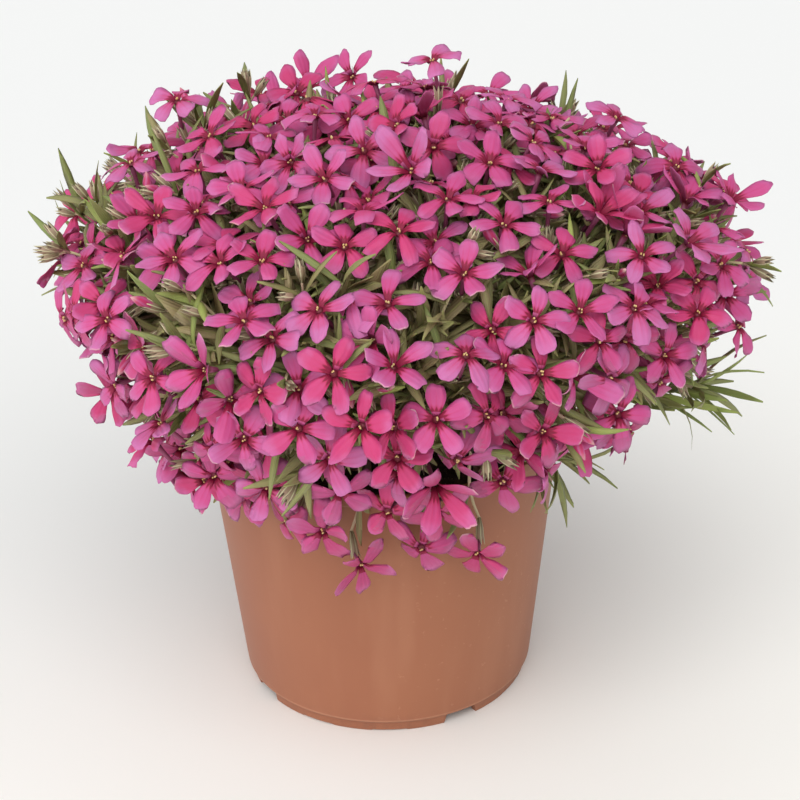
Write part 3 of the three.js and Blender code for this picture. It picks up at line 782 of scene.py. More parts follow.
def leaf_finish(settings):
    """Narrow leaf: a paler midrib and tip, fine lengthwise grooves and a different green for each."""
    finish = Finish("leaf")
    along, across, tint = finish.mark("along"), finish.mark("across"), finish.mark("tint")
    cloud = finish.noise(120.0, 3.0)
    # The brown that lower and deeper leaves take is partly the colour of older leaves and partly painted
    # light: the brownish cast of pink light bounced from the petals into the cushion.
    body = finish.mix(tint, settings.old_leaf_and_bounce, settings.leaf)
    body = finish.mix(tint.between(0.82, 1.0) * 0.8, body, settings.young_leaf)
    body = finish.mix((cloud - 0.4) * 0.5, body, settings.old_leaf_and_bounce)
    body = finish.mix(along.between(0.8, 1.0) * 0.35, body, settings.young_leaf)
    rib = across.size().between(0.16, 0.02) * along.between(1.0, 0.4)
    body = finish.mix(rib * 0.45, body, settings.young_leaf)
    height = (across * 16.0).wave() * 0.4 + finish.noise(700.0) * 0.6
    finish.set(Base_Color=body, Roughness=0.42 + cloud * 0.2, Normal=finish.bump(height, 0.35, 0.0003))
    finish.set(Specular_IOR_Level=0.4)
    finish.set(Subsurface_Weight=0.08, Subsurface_Radius=(0.5, 1.0, 0.3), Subsurface_Scale=0.001)
    return finish.material


def stem_finish(settings):
    """Stems and stalks: greenish where young, browner where older."""
    finish = Finish("stem")
    along, tint = finish.mark("along"), finish.mark("tint")
    fleck = finish.noise(450.0, 4.0, stretch=(1, 1, 0.3))
    share = along * 0.5 + tint * 0.5 + (fleck - 0.5) * 0.5
    body = finish.mix(share.between(0.2, 0.9), settings.bark, settings.stem)
    finish.set(Base_Color=body, Roughness=0.6, Normal=finish.bump(fleck, 0.4, 0.0004))
    return finish.material


def calyx_finish(settings):
    """Calyx: five pale ribs between furrows that go from green to brown."""
    finish = Finish("calyx")
    along, ribs, tint = finish.mark("along"), finish.mark("across"), finish.mark("tint")
    brown = along.between(0.0, 0.9) * 0.4 + tint * 0.3
    furrow = finish.mix(brown, settings.calyx, settings.bark)
    body = finish.mix(ribs.between(0.2, 0.8) * 0.85, furrow, settings.rib)
    height = ribs + finish.noise(900.0) * 0.5
    finish.set(Base_Color=body, Roughness=0.6, Normal=finish.bump(height, 0.4, 0.0003))
    return finish.material


def bud_finish(settings):
    """Furled bud: rose with paler turns and a cream tip."""
    finish = Finish("bud")
    along, turns, tint = finish.mark("along"), finish.mark("across"), finish.mark("tint")
    body = finish.mix(turns.between(-0.6, 1.0) * 0.55, settings.cherry, settings.orchid)
    body = finish.mix(along.between(0.75, 1.0) * (0.2 + 0.6 * tint), body, settings.cream)
    finish.set(Base_Color=body, Roughness=0.5)
    return finish.material


def pot_finish(settings):
    """Satin moulded plastic: faint clouds of colour, flow lines, scuffs, a seam and dust near the foot."""
    finish = Finish("pot_plastic")
    place = finish.node("ShaderNodeTexCoord", output=3).socket
    height = finish.node("ShaderNodeSeparateXYZ", {}, {0: place}, output=2)
    cloud = finish.noise(14.0, 4.0, stretch=(1, 1, 0.6))
    flow = finish.noise(60.0, 3.0, stretch=(1, 1, 0.12))
    speck = finish.noise(420.0, 2.0)
    body = finish.mix(cloud.between(0.3, 0.7), settings.dark_clay, settings.clay)
    body = finish.mix(flow.between(0.5, 0.75) * 0.16, body, settings.worn_clay)
    scuffs = speck.between(0.66, 0.74) * cloud.between(0.45, 0.65) * 0.35
    body = finish.mix(scuffs, body, settings.worn_clay)
    seam = (height - POT["corner_height"] * MM).size().between(0.0007, 0.0001)
    body = finish.mix(seam * 0.5, body, settings.worn_clay)
    dust = height.between(0.012, 0.0) * speck.between(0.4, 0.7)
    body = finish.mix(dust * 0.2, body, settings.dust)
    relief = speck * 0.35 + flow * 0.65
    finish.set(Base_Color=body, Roughness=0.42 + cloud * 0.16, Normal=finish.bump(relief, 0.12, 0.0006))
    finish.set(Specular_IOR_Level=0.4)
    return finish.material


def soil_finish(settings):
    """Peat and bark crumb, dark where damp, with pale grit."""
    finish = Finish("potting_mix")
    crumb = finish.noise(220.0, 5.0, roughness=0.65)
    patch = finish.noise(40.0, 3.0)
    body = finish.mix(crumb.between(0.35, 0.65), settings.damp, settings.peat)
    body = finish.mix(patch.between(0.55, 0.75) * 0.4, body, settings.damp)
    grit = finish.noise(900.0, 2.0).between(0.68, 0.74)
    body = finish.mix(grit * 0.8, body, settings.grit)
    finish.set(Base_Color=body, Roughness=0.95, Normal=finish.bump(crumb, 0.8, 0.0015))
    return finish.material


def floor_finish(settings):
    """Pale floor with light and shade painted into its colour: painted light makes it brightest in front
    and lifts it towards the right, and painted shade makes it a little greyer behind the pot.
    """
    finish = Finish("floor")
    place = finish.node("ShaderNodeTexCoord", output=3).socket
    side = finish.node("ShaderNodeSeparateXYZ", {}, {0: place})
    depth = Number(finish, side.socket.node.outputs[1])
    # Painted shade greys the floor behind the pot; painted light lifts it again towards the right, against
    # the shadow that the fill light casts there.
    middle = finish.mix(side.between(-0.02, 0.16) * 0.7, settings.floor_painted_shade, settings.floor_painted_light)
    # Painted light: the floor in front is the brightest.
    body = finish.mix(depth.between(-0.18, 0.14), settings.floor_painted_light, middle)
    body = finish.mix(depth.between(0.08, 0.5), body, settings.far_floor)
    finish.set(Base_Color=body, Roughness=0.8)
    return finish.material


# ---------- Flowers ----------


def petal_shape(bloom, k, draw, settings, mood):
    """The point of one petal at a share across and along it."""
    across, other = basis(bloom.axis)
    angle = (bloom.turn + 360 / PETALS * k + 9 * (draw() - 0.5)) * DEGREE
    radial = spoke((across, other), angle)
    sideways = across * math.sin(angle) - other * math.cos(angle)
    length = bloom.radius * (0.94 + 0.16 * draw()) - THROAT_RADIUS
    half = settings.petal_width / MM / 2 * (0.84 + 0.32 * draw())
    cup = math.tan((bloom.cup + mood * 24 + 16 * (draw() - 0.5)) * DEGREE)
    curl = (-0.05 - 0.36 * draw() ** 1.6 if draw() < 0.7 else 0.18 * draw()) + min(mood, 0) * 0.3
    fold = 0.5 * (draw() - 0.3)
    twist = (draw() - 0.5) * 0.9 + (1.3 * (draw() - 0.5) if draw() < 0.25 else 0)
    rounding = 0.07 + 0.1 * draw()
    notch = 0.08 * draw() if draw() < 0.45 else -0.05 * draw()
    end_width = 0.68 + 0.26 * draw()
    widest = 0.65 + 0.14 * draw()
    wave_size = 0.5 * draw()
    wave_start = 6 * draw()
    sway = 1.8 * (draw() - 0.5)
    centre = bloom.place

    def shape(u, s):
        edge = rounding * abs(u) ** 2.4 + notch * math.exp(-((u / 0.3) ** 2))
        edge += 0.025 * math.sin(4 * u + wave_start)
        y = THROAT_RADIUS + length * (s - edge * s**3)
        width = 0.26 + 0.74 * smooth(-0.1, widest, s) - (1 - end_width) * smooth(widest - 0.02, 1.06, s)
        x = u * half * width
        middle = y * cup + curl * length * s**2.4
        z = 0.28 * math.exp(-((u / 0.25) ** 2)) * s - fold * half * width * u * u
        z += wave_size * math.sin(3.5 * math.pi * s + wave_start) * u * s
        z -= 1.3 * max(0.0, 1 - s / 0.16) ** 2
        turn = twist * s**1.4
        x, z = x * math.cos(turn) - z * math.sin(turn), middle + x * math.sin(turn) + z * math.cos(turn)
        return centre + sideways * (x + sway * s * s) + radial * y + bloom.axis * z

    return shape


def add_petals(piece, bloom, draw, settings, tint):
    """The petals. One bloom in eight still holds them up, and one in eight has folded them back."""
    share = draw()
    mood = 0.5 + draw() if share < 0.12 else -0.5 - draw() if share > 0.88 else 0
    for k in range(PETALS):
        shape = petal_shape(bloom, k, draw, settings, mood)
        piece.sheet(sheet_template(5, 7, PETAL), shape, min(1, max(0, tint + 0.12 * (draw() - 0.5))))


def calyx_direction(bloom):
    """Which way the calyx and stalk leave the foot of the tube."""
    start = bloom.knee or bloom.foot
    return (bloom.axis * 0.9 + (bloom.neck - start).normalized()).normalized()


def calyx_base(bloom):
    return bloom.neck - calyx_direction(bloom) * CALYX_BELOW


def add_tube(piece, bloom, tint):
    """The slender tube that carries the petals, rooted inside the calyx."""
    low = bloom.neck - calyx_direction(bloom) * TUBE["below"]
    path = Path(low, bloom.neck, bloom.place - bloom.axis * TUBE["sunk"])

    def radius(s, _):
        return TUBE["foot"] + TUBE["widens"] * s + TUBE["mouth"] * smooth(0.8, 1, s), 0

    piece.reed(reed_template(6, 5, TUBE_SKIN), path, radius, tint)


def add_anthers(piece, bloom, draw):
    """Grains that show in the throat, drawn out along the flower's axis."""
    sides = basis(bloom.axis)
    for k in range(ANTHERS):
        off = spoke(sides, 2.1 * k + 6 * draw()) * (ANTHER["off_axis"] + 0.3 * draw())
        size = ANTHER["radius"] + 0.14 * draw()
        spot = bloom.place + off - bloom.axis * (ANTHER["sunk"] + 0.7 * draw())
        for vertex in piece.stamp(bead_template(1, POLLEN)):
            piece.mark(vertex, 0, 0, draw())
            longer = bloom.axis * (vertex.co.dot(bloom.axis) * size * ANTHER["stretch"])
            vertex.co = spot + vertex.co * size + longer


def dress_blooms(shoot, materials, settings):
    """The open flowers of one shoot: petals, tubes and anthers."""
    piece = Piece(f"blooms_{shoot.number + 1:02d}", materials)
    draw = draws(SEEDS["flowers"] + shoot.number)
    tints = [1 - (1 - bloom.tall) * draw() for bloom in shoot.blooms]
    for bloom, tint in zip(shoot.blooms, tints):
        add_petals(piece, bloom, draw, settings, tint)
    piece.thicken(settings.petal_thickness / MM, PETAL_BACK)
    for bloom, tint in zip(shoot.blooms, tints):
        add_tube(piece, bloom, tint)
        add_anthers(piece, bloom, draw)
    piece.finish("petals", shoot.node)


# ---------- Leaves, stems, calyces and buds ----------


def leaf_shape(base, heading, bend, length, half, curve, fold):
    """A narrow pointed leaf that leaves its base along the heading and bends towards another direction."""
    side = heading.cross(bend).normalized()

    def shape(u, s):
        angle = curve * s
        flow = math.sin(angle) / curve if abs(curve) > 0.01 else s
        drift = (1 - math.cos(angle)) / curve if abs(curve) > 0.01 else 0
        line = base + heading * (length * flow) + bend * (length * drift)
        upright = bend * math.cos(angle) - heading * math.sin(angle)
        width = half * (0.5 + 0.5 * smooth(0, 0.4, s)) * (1 - 0.9 * smooth(0.55, 1.02, s) ** 1.5)
        return line + side * (u * width) + upright * (fold * width * abs(u))

    return shape


@cache
def open_petals():
    """All the blooms, and a tree that finds those near a point."""
    blooms = [bloom for shoot in grow() for bloom in shoot.blooms]
    tree = kdtree.KDTree(len(blooms))
    for index, bloom in enumerate(blooms):
        tree.insert(bloom.place, index)
    tree.balance()
    return blooms, tree


def free_share(line, steps=6):
    """How much of a line, given as points at shares from 0 to 1, can grow before it meets a petal."""
    blooms, tree = open_petals()
    sides = {}
    for step in range(steps + 1):
        point = line(step / steps)
        for _, index, _ in tree.find_range(point, BLOOM["radius"] + PETAL_ROOM):
            bloom = blooms[index]
            offset = point - bloom.place
            height = offset.dot(bloom.axis)
            out = (offset - bloom.axis * height).length
            side = height - out * math.tan(bloom.cup * DEGREE)
            if out < bloom.radius and sides.get(index, side) * side < 0:
                return (step - 1) / steps
            sides[index] = side
    return 1.0


def add_leaves(piece, base_at, out, draw, count, size, tint, droop=1.0, wide=1.0, cells=(2, 5)):
    """Leaves in crossed pairs down a stem, from its tip."""
    settings = bpy.context.scene.phlox_foliage
    sides = basis(out)
    for i in range(count):
        pair = i // 2
        turn = math.pi * i + LEAF_PAIR["turn"] * pair + LEAF_PAIR["turn_vary"] * draw()
        slant = LEAF_PAIR["slant"] + LEAF_PAIR["slant_step"] * pair + LEAF_PAIR["slant_vary"] * draw()
        slant = min(slant * DEGREE, FLATTEST)
        sideways = spoke(sides, turn)
        heading = out * math.cos(slant) + sideways * math.sin(slant)
        bend = (sideways * math.cos(slant) - out * math.sin(slant) - UP * 0.25 * droop).normalized()
        bend = (bend - heading * bend.dot(heading)).normalized()
        length = settings.leaf_length / MM * size * (0.78 + 0.45 * draw())
        half = settings.leaf_width / MM / 2 * (0.8 + 0.4 * draw()) * wide
        curve = (0.2 + 0.95 * draw()) * (1 if draw() < 0.8 else -0.7)
        fold = 0.15 + 0.5 * draw()
        shade = min(1, max(0, tint + 0.55 * (draw() - 0.5) - 0.05 * pair))
        shape = leaf_shape(base_at(pair), heading, bend, length, half, curve, fold)
        free = free_share(lambda s: shape(0, s))
        if free < 1:
            shape = leaf_shape(base_at(pair), heading, bend, length * free * 0.95, half, curve, fold)
        if free > SHORTEST_LEAF:
            piece.sheet(sheet_template(*cells, LEAF_SKIN), shape, shade)


def add_sprig_leaves(shoot, piece, draw):
    """Whorls of leaves that stand up along the outer part of a sprig."""
    path = stem_path(shoot)
    for whorl in range(SPRIG_WHORLS):
        share = 1 - 0.08 * whorl
        add_leaves(piece, lambda pair: path.at(max(share - 0.02 * pair, 0)), path.along(share), draw,
                   **LEAVES["sprig"])


def add_tip_leaves(shoot, tip, piece, draw):
    """A leafy tip on its own thin stem, with a few broader leaves lower down."""
    out = shoot.out
    heading = (tip.out * 0.7 + UP * 0.3 + jitter(draw) * 0.5).normalized()
    foot = shoot.top - out * (6 + 9 * draw())
    tip.stem = Path(foot, blend(shoot.top, tip.place, 0.55) - out * 4, tip.place - heading * 4)
    # Tips crowded into the cushion take more of the brown, which is partly older leaves and partly painted
    # bounce light.
    tint = 0.45 + 0.5 * draw() if tip.open_gap else 0.25 + 0.6 * draw()
    size = TIP_LEAF_SIZE["gap" if tip.open_gap else "crowd"]
    add_leaves(piece, lambda pair: tip.stem.at(1 - 0.17 * pair), heading, draw, TIP_LEAVES, size, tint)
    add_leaves(piece, lambda pair: tip.stem.at(0.45 - 0.2 * pair), tip.stem.along(0.5), draw,
               **LEAVES["below tip"])


def add_foliage(shoot, piece, draw):
    """All the leaves of one shoot."""
    if shoot.sprig:
        add_sprig_leaves(shoot, piece, draw)
        return
    top, out, path = shoot.top, shoot.out, stem_path(shoot)
    add_leaves(piece, lambda pair: top - out * (1.5 + 4.5 * pair), out, draw, **LEAVES["stem top"])
    add_leaves(piece, lambda pair: path.at(0.8 - 0.09 * pair), path.along(0.7), draw, **LEAVES["old wood"])
    for tip in shoot.tips:
        add_tip_leaves(shoot, tip, piece, draw)
    for bloom in shoot.blooms:
        stalk = stalk_path(bloom)
        add_leaves(piece, lambda pair: stalk.at(0.7), stalk.along(0.6), draw, **LEAVES["stalk"])


def stem_path(shoot):
    """From the root straight up through the soil, and then out to the top in an easy bend."""
    low = Vector((shoot.root.x, shoot.root.y, STEM["root"]))
    collar = Vector((shoot.root.x, shoot.root.y, STEM["collar"]))
    rise = blend(collar, shoot.shoulder, 0.5)
    rise.z = blend(collar.z, shoot.shoulder.z, 0.66)
    return Path(low, collar, rise, shoot.shoulder, shoot.top)


def stalk_path(bloom):
    """From the stem to the bloom's calyx, over a knee at the rim where the bloom hangs."""
    base = calyx_base(bloom)
    if bloom.knee:
        return Path(bloom.foot, blend(bloom.foot, bloom.knee, 0.6) + UP * 2, bloom.knee, base)
    return Path(bloom.foot, blend(bloom.foot, base, 0.55), base)


def add_calyx(piece, base, direction, draw, tint, kind, scale=1.0):
    """A narrow ribbed cup with pointed teeth, closed or with a hollow mouth."""
    calyx = CALYXES[kind]
    length, mouth = calyx["length"] * scale, calyx["mouth"]
    path = Path(base, base + direction * length * 0.5, base + direction * length * 0.72)

    def radius(s, angle):
        rib = math.cos(PETALS * angle)
        size = CALYX_FOOT + (mouth - CALYX_FOOT) * smooth(-0.05, 0.45, s) + 0.1 * rib
        if s < 0.99:
            return size, 0
        tooth = 0.5 + 0.5 * rib
        flare = calyx["flare"] if tooth > 0.5 else 0.72 * calyx["flare"]
        return size * flare, length * 0.25 * tooth + 0.3 * draw()

    piece.reed(reed_template(2 * PETALS, 3, CALYX_SKIN, calyx["hollow"]), path, radius, tint)


def add_bud(piece, base, direction, draw, tint, size):
    """A furled bud in its calyx."""
    add_calyx(piece, base, direction, draw, tint, "bud", size)
    path = Path(*(base + direction * BUD[part] * size for part in ("from", "middle", "to")))

    def radius(s, angle):
        plump = BUD["radius"] * size * math.sin(math.pi * (0.12 + 0.86 * s**1.4))
        return plump * (1 + 0.1 * math.cos(PETALS * angle)) + 0.08, 0

    piece.reed(reed_template(2 * PETALS, 6, BUD_SKIN), path, radius, draw(), BUD["swirl"])


def add_stalk(piece, kind, sides, cells, path, tint):
    """A round stem or stalk that grows thinner along its path."""
    thick, thins = THICKNESS[kind]
    piece.reed(reed_template(sides, cells, STEM_SKIN), path, lambda s, _: (thick - thins * s, 0), tint)


def add_cluster(piece, tip, draw, budding_share):
    """A few calyces at a leafy tip, empty or with a furled bud."""
    heading, base = tip.stem.along(1), tip.stem.at(0.96)
    sides = basis(heading)
    start = 6.3 * draw()
    for k in range(int(2 + (3.5 if tip.open_gap else 2) * draw())):
        direction = (heading + spoke(sides, start + 2.2 * k) * (0.25 + 0.5 * draw())).normalized()
        size = 0.75 + 0.3 * draw()
        budding = draw() < budding_share
        tint = draw()
        foot = base + direction * ((2 + 4 * draw()) if tip.open_gap else 1)
        if free_share(lambda s: base.lerp(foot + direction * CLUSTER_REACH * size, s)) < 1:
            continue
        if tip.open_gap:
            middle = base.lerp(foot, 0.5) + heading * 0.8
            add_stalk(piece, "calyx", 4, 3, Path(base, middle, foot + direction), tint)
        if budding:
            add_bud(piece, foot, direction, draw, tint, size)
        else:
            add_calyx(piece, foot, direction, draw, tint, "empty", size)


def dress_foliage(shoot, materials, settings):
    """Stem, stalks, leaves, calyces and buds of one shoot."""
    piece = Piece(f"foliage_{shoot.number + 1:02d}", materials)
    draw = draws(SEEDS["foliage"] + shoot.number)
    add_foliage(shoot, piece, draw)
    piece.thicken(settings.leaf_thickness / MM, LEAF_SKIN)
    add_stalk(piece, "stem", 7, 16, stem_path(shoot), 0.2 + 0.3 * draw())
    for bloom in shoot.blooms:
        tint = draw()
        add_stalk(piece, "stalk", 5, 7, stalk_path(bloom), 0.2 + 0.7 * tint)
        add_calyx(piece, calyx_base(bloom), calyx_direction(bloom), draw, tint, "flower")
    for tip in shoot.tips:
        add_stalk(piece, "tip", 5, 5, tip.stem, 0.5 + 0.4 * draw())
        add_cluster(piece, tip, draw, settings.buds)
    piece.finish("foliage", shoot.node)


# ---------- Pot and soil ----------


def wall_at(z):
    """Outside radius of the pot's plain wall at a height."""
    share = (z - POT["corner_height"]) / (POT["height"] - POT["lip_height"] - POT["corner_height"])
    return POT["corner"] + share * (POT["rim"] - POT["lip_step"] - POT["corner"])


def arc(centre, radius, start, end, steps):
    """Points of a round edge in the pot's profile, as distance from the axis and height."""
    return [
        (
            centre[0] + radius * math.cos(blend(start, end, i / steps) * DEGREE),
            centre[1] + radius * math.sin(blend(start, end, i / steps) * DEGREE),
        )
        for i in range(steps + 1)
    ]


def pot_profile():
    """Half of the pot's cross-section, from the middle of its underside to the middle of its floor."""
    height, foot, rim, wall, pad = (POT[key] for key in ("height", "foot", "rim", "wall", "pad"))
    lip_foot, under, corner = height - POT["lip_height"], POT["foot_height"], POT["corner_height"]
    floor = under + wall
    foot_inner = foot - POT["foot_width"]
    drain_from, drain_to = DRAINS["from"] - DRAINS["radius"], DRAINS["from"] + DRAINS["radius"]
    r = ROUNDS
    return [
        (0, 0),
        *arc((pad - r["pad"], r["pad"]), r["pad"], -90, 0, 3),
        (pad, under),
        (drain_from, under),
        (drain_to, under),
        (foot_inner, under),
        *arc((foot_inner + r["foot_inside"], r["foot_inside"]), r["foot_inside"], 180, 270, 3),
        *arc((foot - r["foot"], r["foot"]), r["foot"], -90, 0, 3),
        (foot + 0.1, corner - 2),
        *arc((wall_at(corner) - r["corner"], corner + 0.3), r["corner"], -70, 0, 4),
        *[(wall_at(z), z) for z in (*WALL_RINGS, lip_foot - r["lip_foot"])],
        *arc((rim - r["lip_foot"], lip_foot + r["lip_foot"]), r["lip_foot"], -90, 0, 3),
        *arc((rim - r["lip"], height - r["lip"]), r["lip"], 0, 90, 4),
        *arc((rim - POT["lip_width"] + r["mouth"], height - r["mouth"]), r["mouth"], 90, 180, 3),
        (wall_at(lip_foot) - wall, lip_foot - 1.5),
        *[(wall_at(z) - wall, z) for z in (*INSIDE_RINGS, floor + 3)],
        *arc((wall_at(floor) - wall - r["floor"], floor + r["floor"]), r["floor"], 0, -90, 4),
        (drain_to, floor),
        (drain_from, floor),
        (0, floor),
    ]


def turned(profile, steps):
    """A closed shape turned from half its cross-section, given as distance from the axis and height."""
    bm = bmesh.new()
    line = [bm.verts.new((r, 0, z)) for r, z in profile]
    edges = [bm.edges.new(pair) for pair in zip(line, line[1:])]
    bmesh.ops.spin(bm, geom=line + edges, axis=(0, 0, 1), cent=(0, 0, 0), angle=2 * math.pi, steps=steps,
                   use_merge=True, use_duplicate=False)
    bmesh.ops.remove_doubles(bm, verts=bm.verts, dist=1e-4)
    return template("turned", bm, 0)


def dress_pot(material):
    """The pot, turned from its profile, with notches pressed up into its foot and its floor drilled."""
    piece = Piece("pot_shell", [material])
    piece.stamp(turned(pot_profile(), POT_STEPS))
    press_notches(piece.bm)
    drill_floor(piece.bm)
    piece.finish("pot", "pot", CREASE)


def press_notches(bm):
    """Lifts the foot ring's underside wherever a notch is: every third is deep, and the others shallow."""
    turn = 360 / NOTCHES["count"]
    ring_inside = POT["foot"] - POT["foot_width"] - 0.1
    for vertex in bm.verts:
        if math.hypot(vertex.co.x, vertex.co.y) < ring_inside or vertex.co.z > NOTCHES["deep"] + 0.1:
            continue
        azimuth = math.degrees(math.atan2(vertex.co.y, vertex.co.x)) + 90 - NOTCHES["first"]
        k = round(azimuth / turn)
        if abs(azimuth - k * turn) < NOTCHES["width"] / 2:
            deep = NOTCHES["shallow" if k % NOTCHES["deep_every"] else "deep"]
            vertex.co.z = max(vertex.co.z, deep + 0.15 * vertex.co.z)


def drill_floor(bm):
    """Opens each drain hole: the faces inside it go, and its edges are drawn to a circle and joined."""
    for k in range(DRAINS["count"]):
        azimuth = DRAINS["first"] - 90 + 360 * k / DRAINS["count"]
        centre = bearing(azimuth, 0) * DRAINS["from"]
        inside = []
        for face in bm.faces:
            middle = face.calc_center_median()
            level = Vector((middle.x, middle.y, 0))
            in_ring = abs(level.length - DRAINS["from"]) < DRAINS["radius"]
            turn = angle_between(level.normalized(), centre.normalized())
            if middle.z < FLOOR_BELOW and in_ring and turn < DRAIN_HALF_ANGLE:
                inside.append(face)
        bmesh.ops.delete(bm, geom=inside, context="FACES")
        edges = [e for e in bm.edges if e.is_boundary]
        for vertex in {v for e in edges for v in e.verts}:
            level = Vector((vertex.co.x, vertex.co.y, 0))
            spot = centre + (level - centre).normalized() * DRAINS["radius"]
            vertex.co.x, vertex.co.y = spot.x, spot.y
        bmesh.ops.bridge_loops(bm, edges=edges)


def soil_rim():
    """Radius of the soil at its edge."""
    return wall_at(SOIL["edge"]) - POT["wall"] - SOIL["gap"]


def soil_profile():
    """Half of the soil's cross-section: it clears the pot all round and rises a little inside its edge."""
    gap, cut, rings = SOIL["gap"], SOIL["corner"], SOIL["rings"]
    floor = POT["foot_height"] + POT["wall"] + gap
    corner = wall_at(floor + cut) - POT["wall"]
    line = [(0, floor), (corner - cut, floor), (corner - gap, floor + cut)]
    line += [(wall_at(z) - POT["wall"] - gap, z) for z in SOIL_SIDE_RINGS]
    for i in range(rings + 1):
        share = i / rings
        line.append((soil_rim() * (1 - share), SOIL["edge"] + SOIL["mound"] * smooth(0, 0.2, share)))
    return line


def dress_soil(material, settings):
    """Potting mix that fills the pot, with crumbs of bark and grit lying on it."""
    piece = Piece("soil_mix", [material])
    rim = soil_rim()
    for vertex in piece.stamp(turned(soil_profile(), SOIL["steps"])):
        if vertex.co.z > SOIL["edge"] - 0.5:
            spot = Vector((vertex.co.x, vertex.co.y, 0))
            relief = sum(noise.noise(spot * fine) * high for fine, high in SOIL_RELIEF)
            vertex.co.z += relief * smooth(rim, rim - 4, spot.length)
    draw = draws(SEEDS["crumbs"])
    for _ in range(settings.crumbs):
        spot = bearing(360 * draw(), 0) * (rim - CRUMB["edge"]) * math.sqrt(draw())
        size = CRUMB["least"] + CRUMB["more"] * draw() ** 3
        stretch = Vector((0.7 + draw(), 0.7 + draw(), 0.5 + 0.5 * draw())) * size
        turn = Matrix.Rotation(6.3 * draw(), 3, "Z")
        spot.z = SOIL["edge"] + CRUMB["above"] + CRUMB["lift"] * size
        for vertex in piece.stamp(bead_template(1, 0)):
            vertex.co = turn @ (vertex.co * stretch) + spot
    piece.finish("soil", "soil")


# ---------- Stage ----------

FLOOR_HALF = 6.0  # metres, as all sizes of the stage
LIGHTS = {
    "key": {"place": (-0.06, -0.9, 1.05), "softness": 55, "colour": (0.99, 1.0, 0.995)},
    "fill": {"place": (-1.0, -0.5, 0.2), "softness": 35, "colour": (0.99, 1.0, 0.995)},
}
ROOM = {"left": 1.3, "right": 0.7, "colour": (0.99, 0.995, 1.0, 1)}
CAMERA = {"place": (0.00632, -0.6, 0.394), "pitch": 0.446, "roll": -0.021, "lens": 82.88, "sensor": 36}


def lay_floor(settings):
    """A wide floor under the pot."""
    bm = bmesh.new()
    bmesh.ops.create_grid(bm, x_segments=1, y_segments=1, size=FLOOR_HALF)
    mesh = bpy.data.meshes.new("floor")
    bm.to_mesh(mesh)
    bm.free()
    mesh.materials.append(floor_finish(settings))
    floor = bpy.data.objects.new("floor", mesh)
    bpy.context.scene.collection.objects.link(floor)


def light_room(scene, settings):
    """Even light from all round, a little stronger from the left, and two wide soft suns."""
    world = bpy.data.worlds.new("room")
    world.use_nodes = True
    sky = world.node_tree.nodes["Background"]
    sky.inputs["Color"].default_value = ROOM["colour"]
    nodes, links = world.node_tree.nodes, world.node_tree.links
    split = nodes.new("ShaderNodeSeparateXYZ")
    links.new(nodes.new("ShaderNodeTexCoord").outputs["Generated"], split.inputs[0])
    fade = nodes.new("ShaderNodeMapRange")
    links.new(split.outputs[0], fade.inputs[0])
    ends = (-1, 1, settings.room * ROOM["left"], settings.room * ROOM["right"])
    for index, value in enumerate(ends, 1):
        fade.inputs[index].default_value = value
    links.new(fade.outputs[0], sky.inputs["Strength"])
    scene.world = world
    scene.view_settings.view_transform = "Standard"
    for name, light in LIGHTS.items():
        lamp = bpy.data.lights.new(name, "SUN")
        lamp.angle = light["softness"] * DEGREE
        lamp.energy = getattr(settings, name)
        lamp.color = light["colour"]
        sun = bpy.data.objects.new(name, lamp)
        sun.location = light["place"]
        sun.rotation_euler = sun.location.to_track_quat("Z", "Y").to_euler()
        scene.collection.objects.link(sun)


def set_camera(scene):
    """Looks along +Y and down by the pitch, tilted a little to one side."""
    pitch, roll = CAMERA["pitch"], CAMERA["roll"]
    back = Vector((0, -math.cos(pitch), math.sin(pitch)))
    level, rise = Vector((1, 0, 0)), Vector((0, math.sin(pitch), math.cos(pitch)))
    right = level * math.cos(roll) + rise * math.sin(roll)
    up = rise * math.cos(roll) - level * math.sin(roll)
    data = bpy.data.cameras.new("camera")
    data.lens = CAMERA["lens"]
    data.sensor_width = CAMERA["sensor"]
    data.clip_start = 0.01
    camera = bpy.data.objects.new("camera", data)
    camera.rotation_euler = Matrix((right, up, back)).transposed().to_euler()
    camera.location = CAMERA["place"]
    scene.collection.objects.link(camera)
    scene.camera = camera


# ---------- Settings ----------


def tone(name, description, code):
    return bpy.props.FloatVectorProperty(
        name=name, description=description, subtype="COLOR", size=3, min=0, max=1, default=colour(code)
    )


def length(name, description, millimetres):
    return bpy.props.FloatProperty(
        name=name, description=description, unit="LENGTH", min=0, precision=5, default=millimetres * MM
    )


def factor(name, description, default):
    return bpy.props.FloatProperty(
        name=name, description=description, subtype="FACTOR", min=0, max=1, default=default
    )


def strength(name, description, default):
    return bpy.props.FloatProperty(name=name, description=description, min=0, default=default)


class PotSettings(bpy.types.PropertyGroup):
    clay: tone("Clay", "Colour of the pot's plastic", "#a3684b")
    dark_clay: tone("Dark clay", "Darker clouds in the plastic", "#9a5f45")
    worn_clay: tone("Worn clay", "Seam, scuffs and flow lines", "#c08a6c")
    dust: tone("Dust", "Dust near the foot", "#6b4a3a")


class SoilSettings(bpy.types.PropertyGroup):
    peat: tone("Peat", "Colour of dry crumb", "#4a3626")
    damp: tone("Damp peat", "Colour of damp crumb", "#21170f")
    grit: tone("Grit", "Pale grit in the crumb", "#b8a88c")
    crumbs: bpy.props.IntProperty(name="Crumbs", description="Loose crumbs on the mix", min=0, default=420)


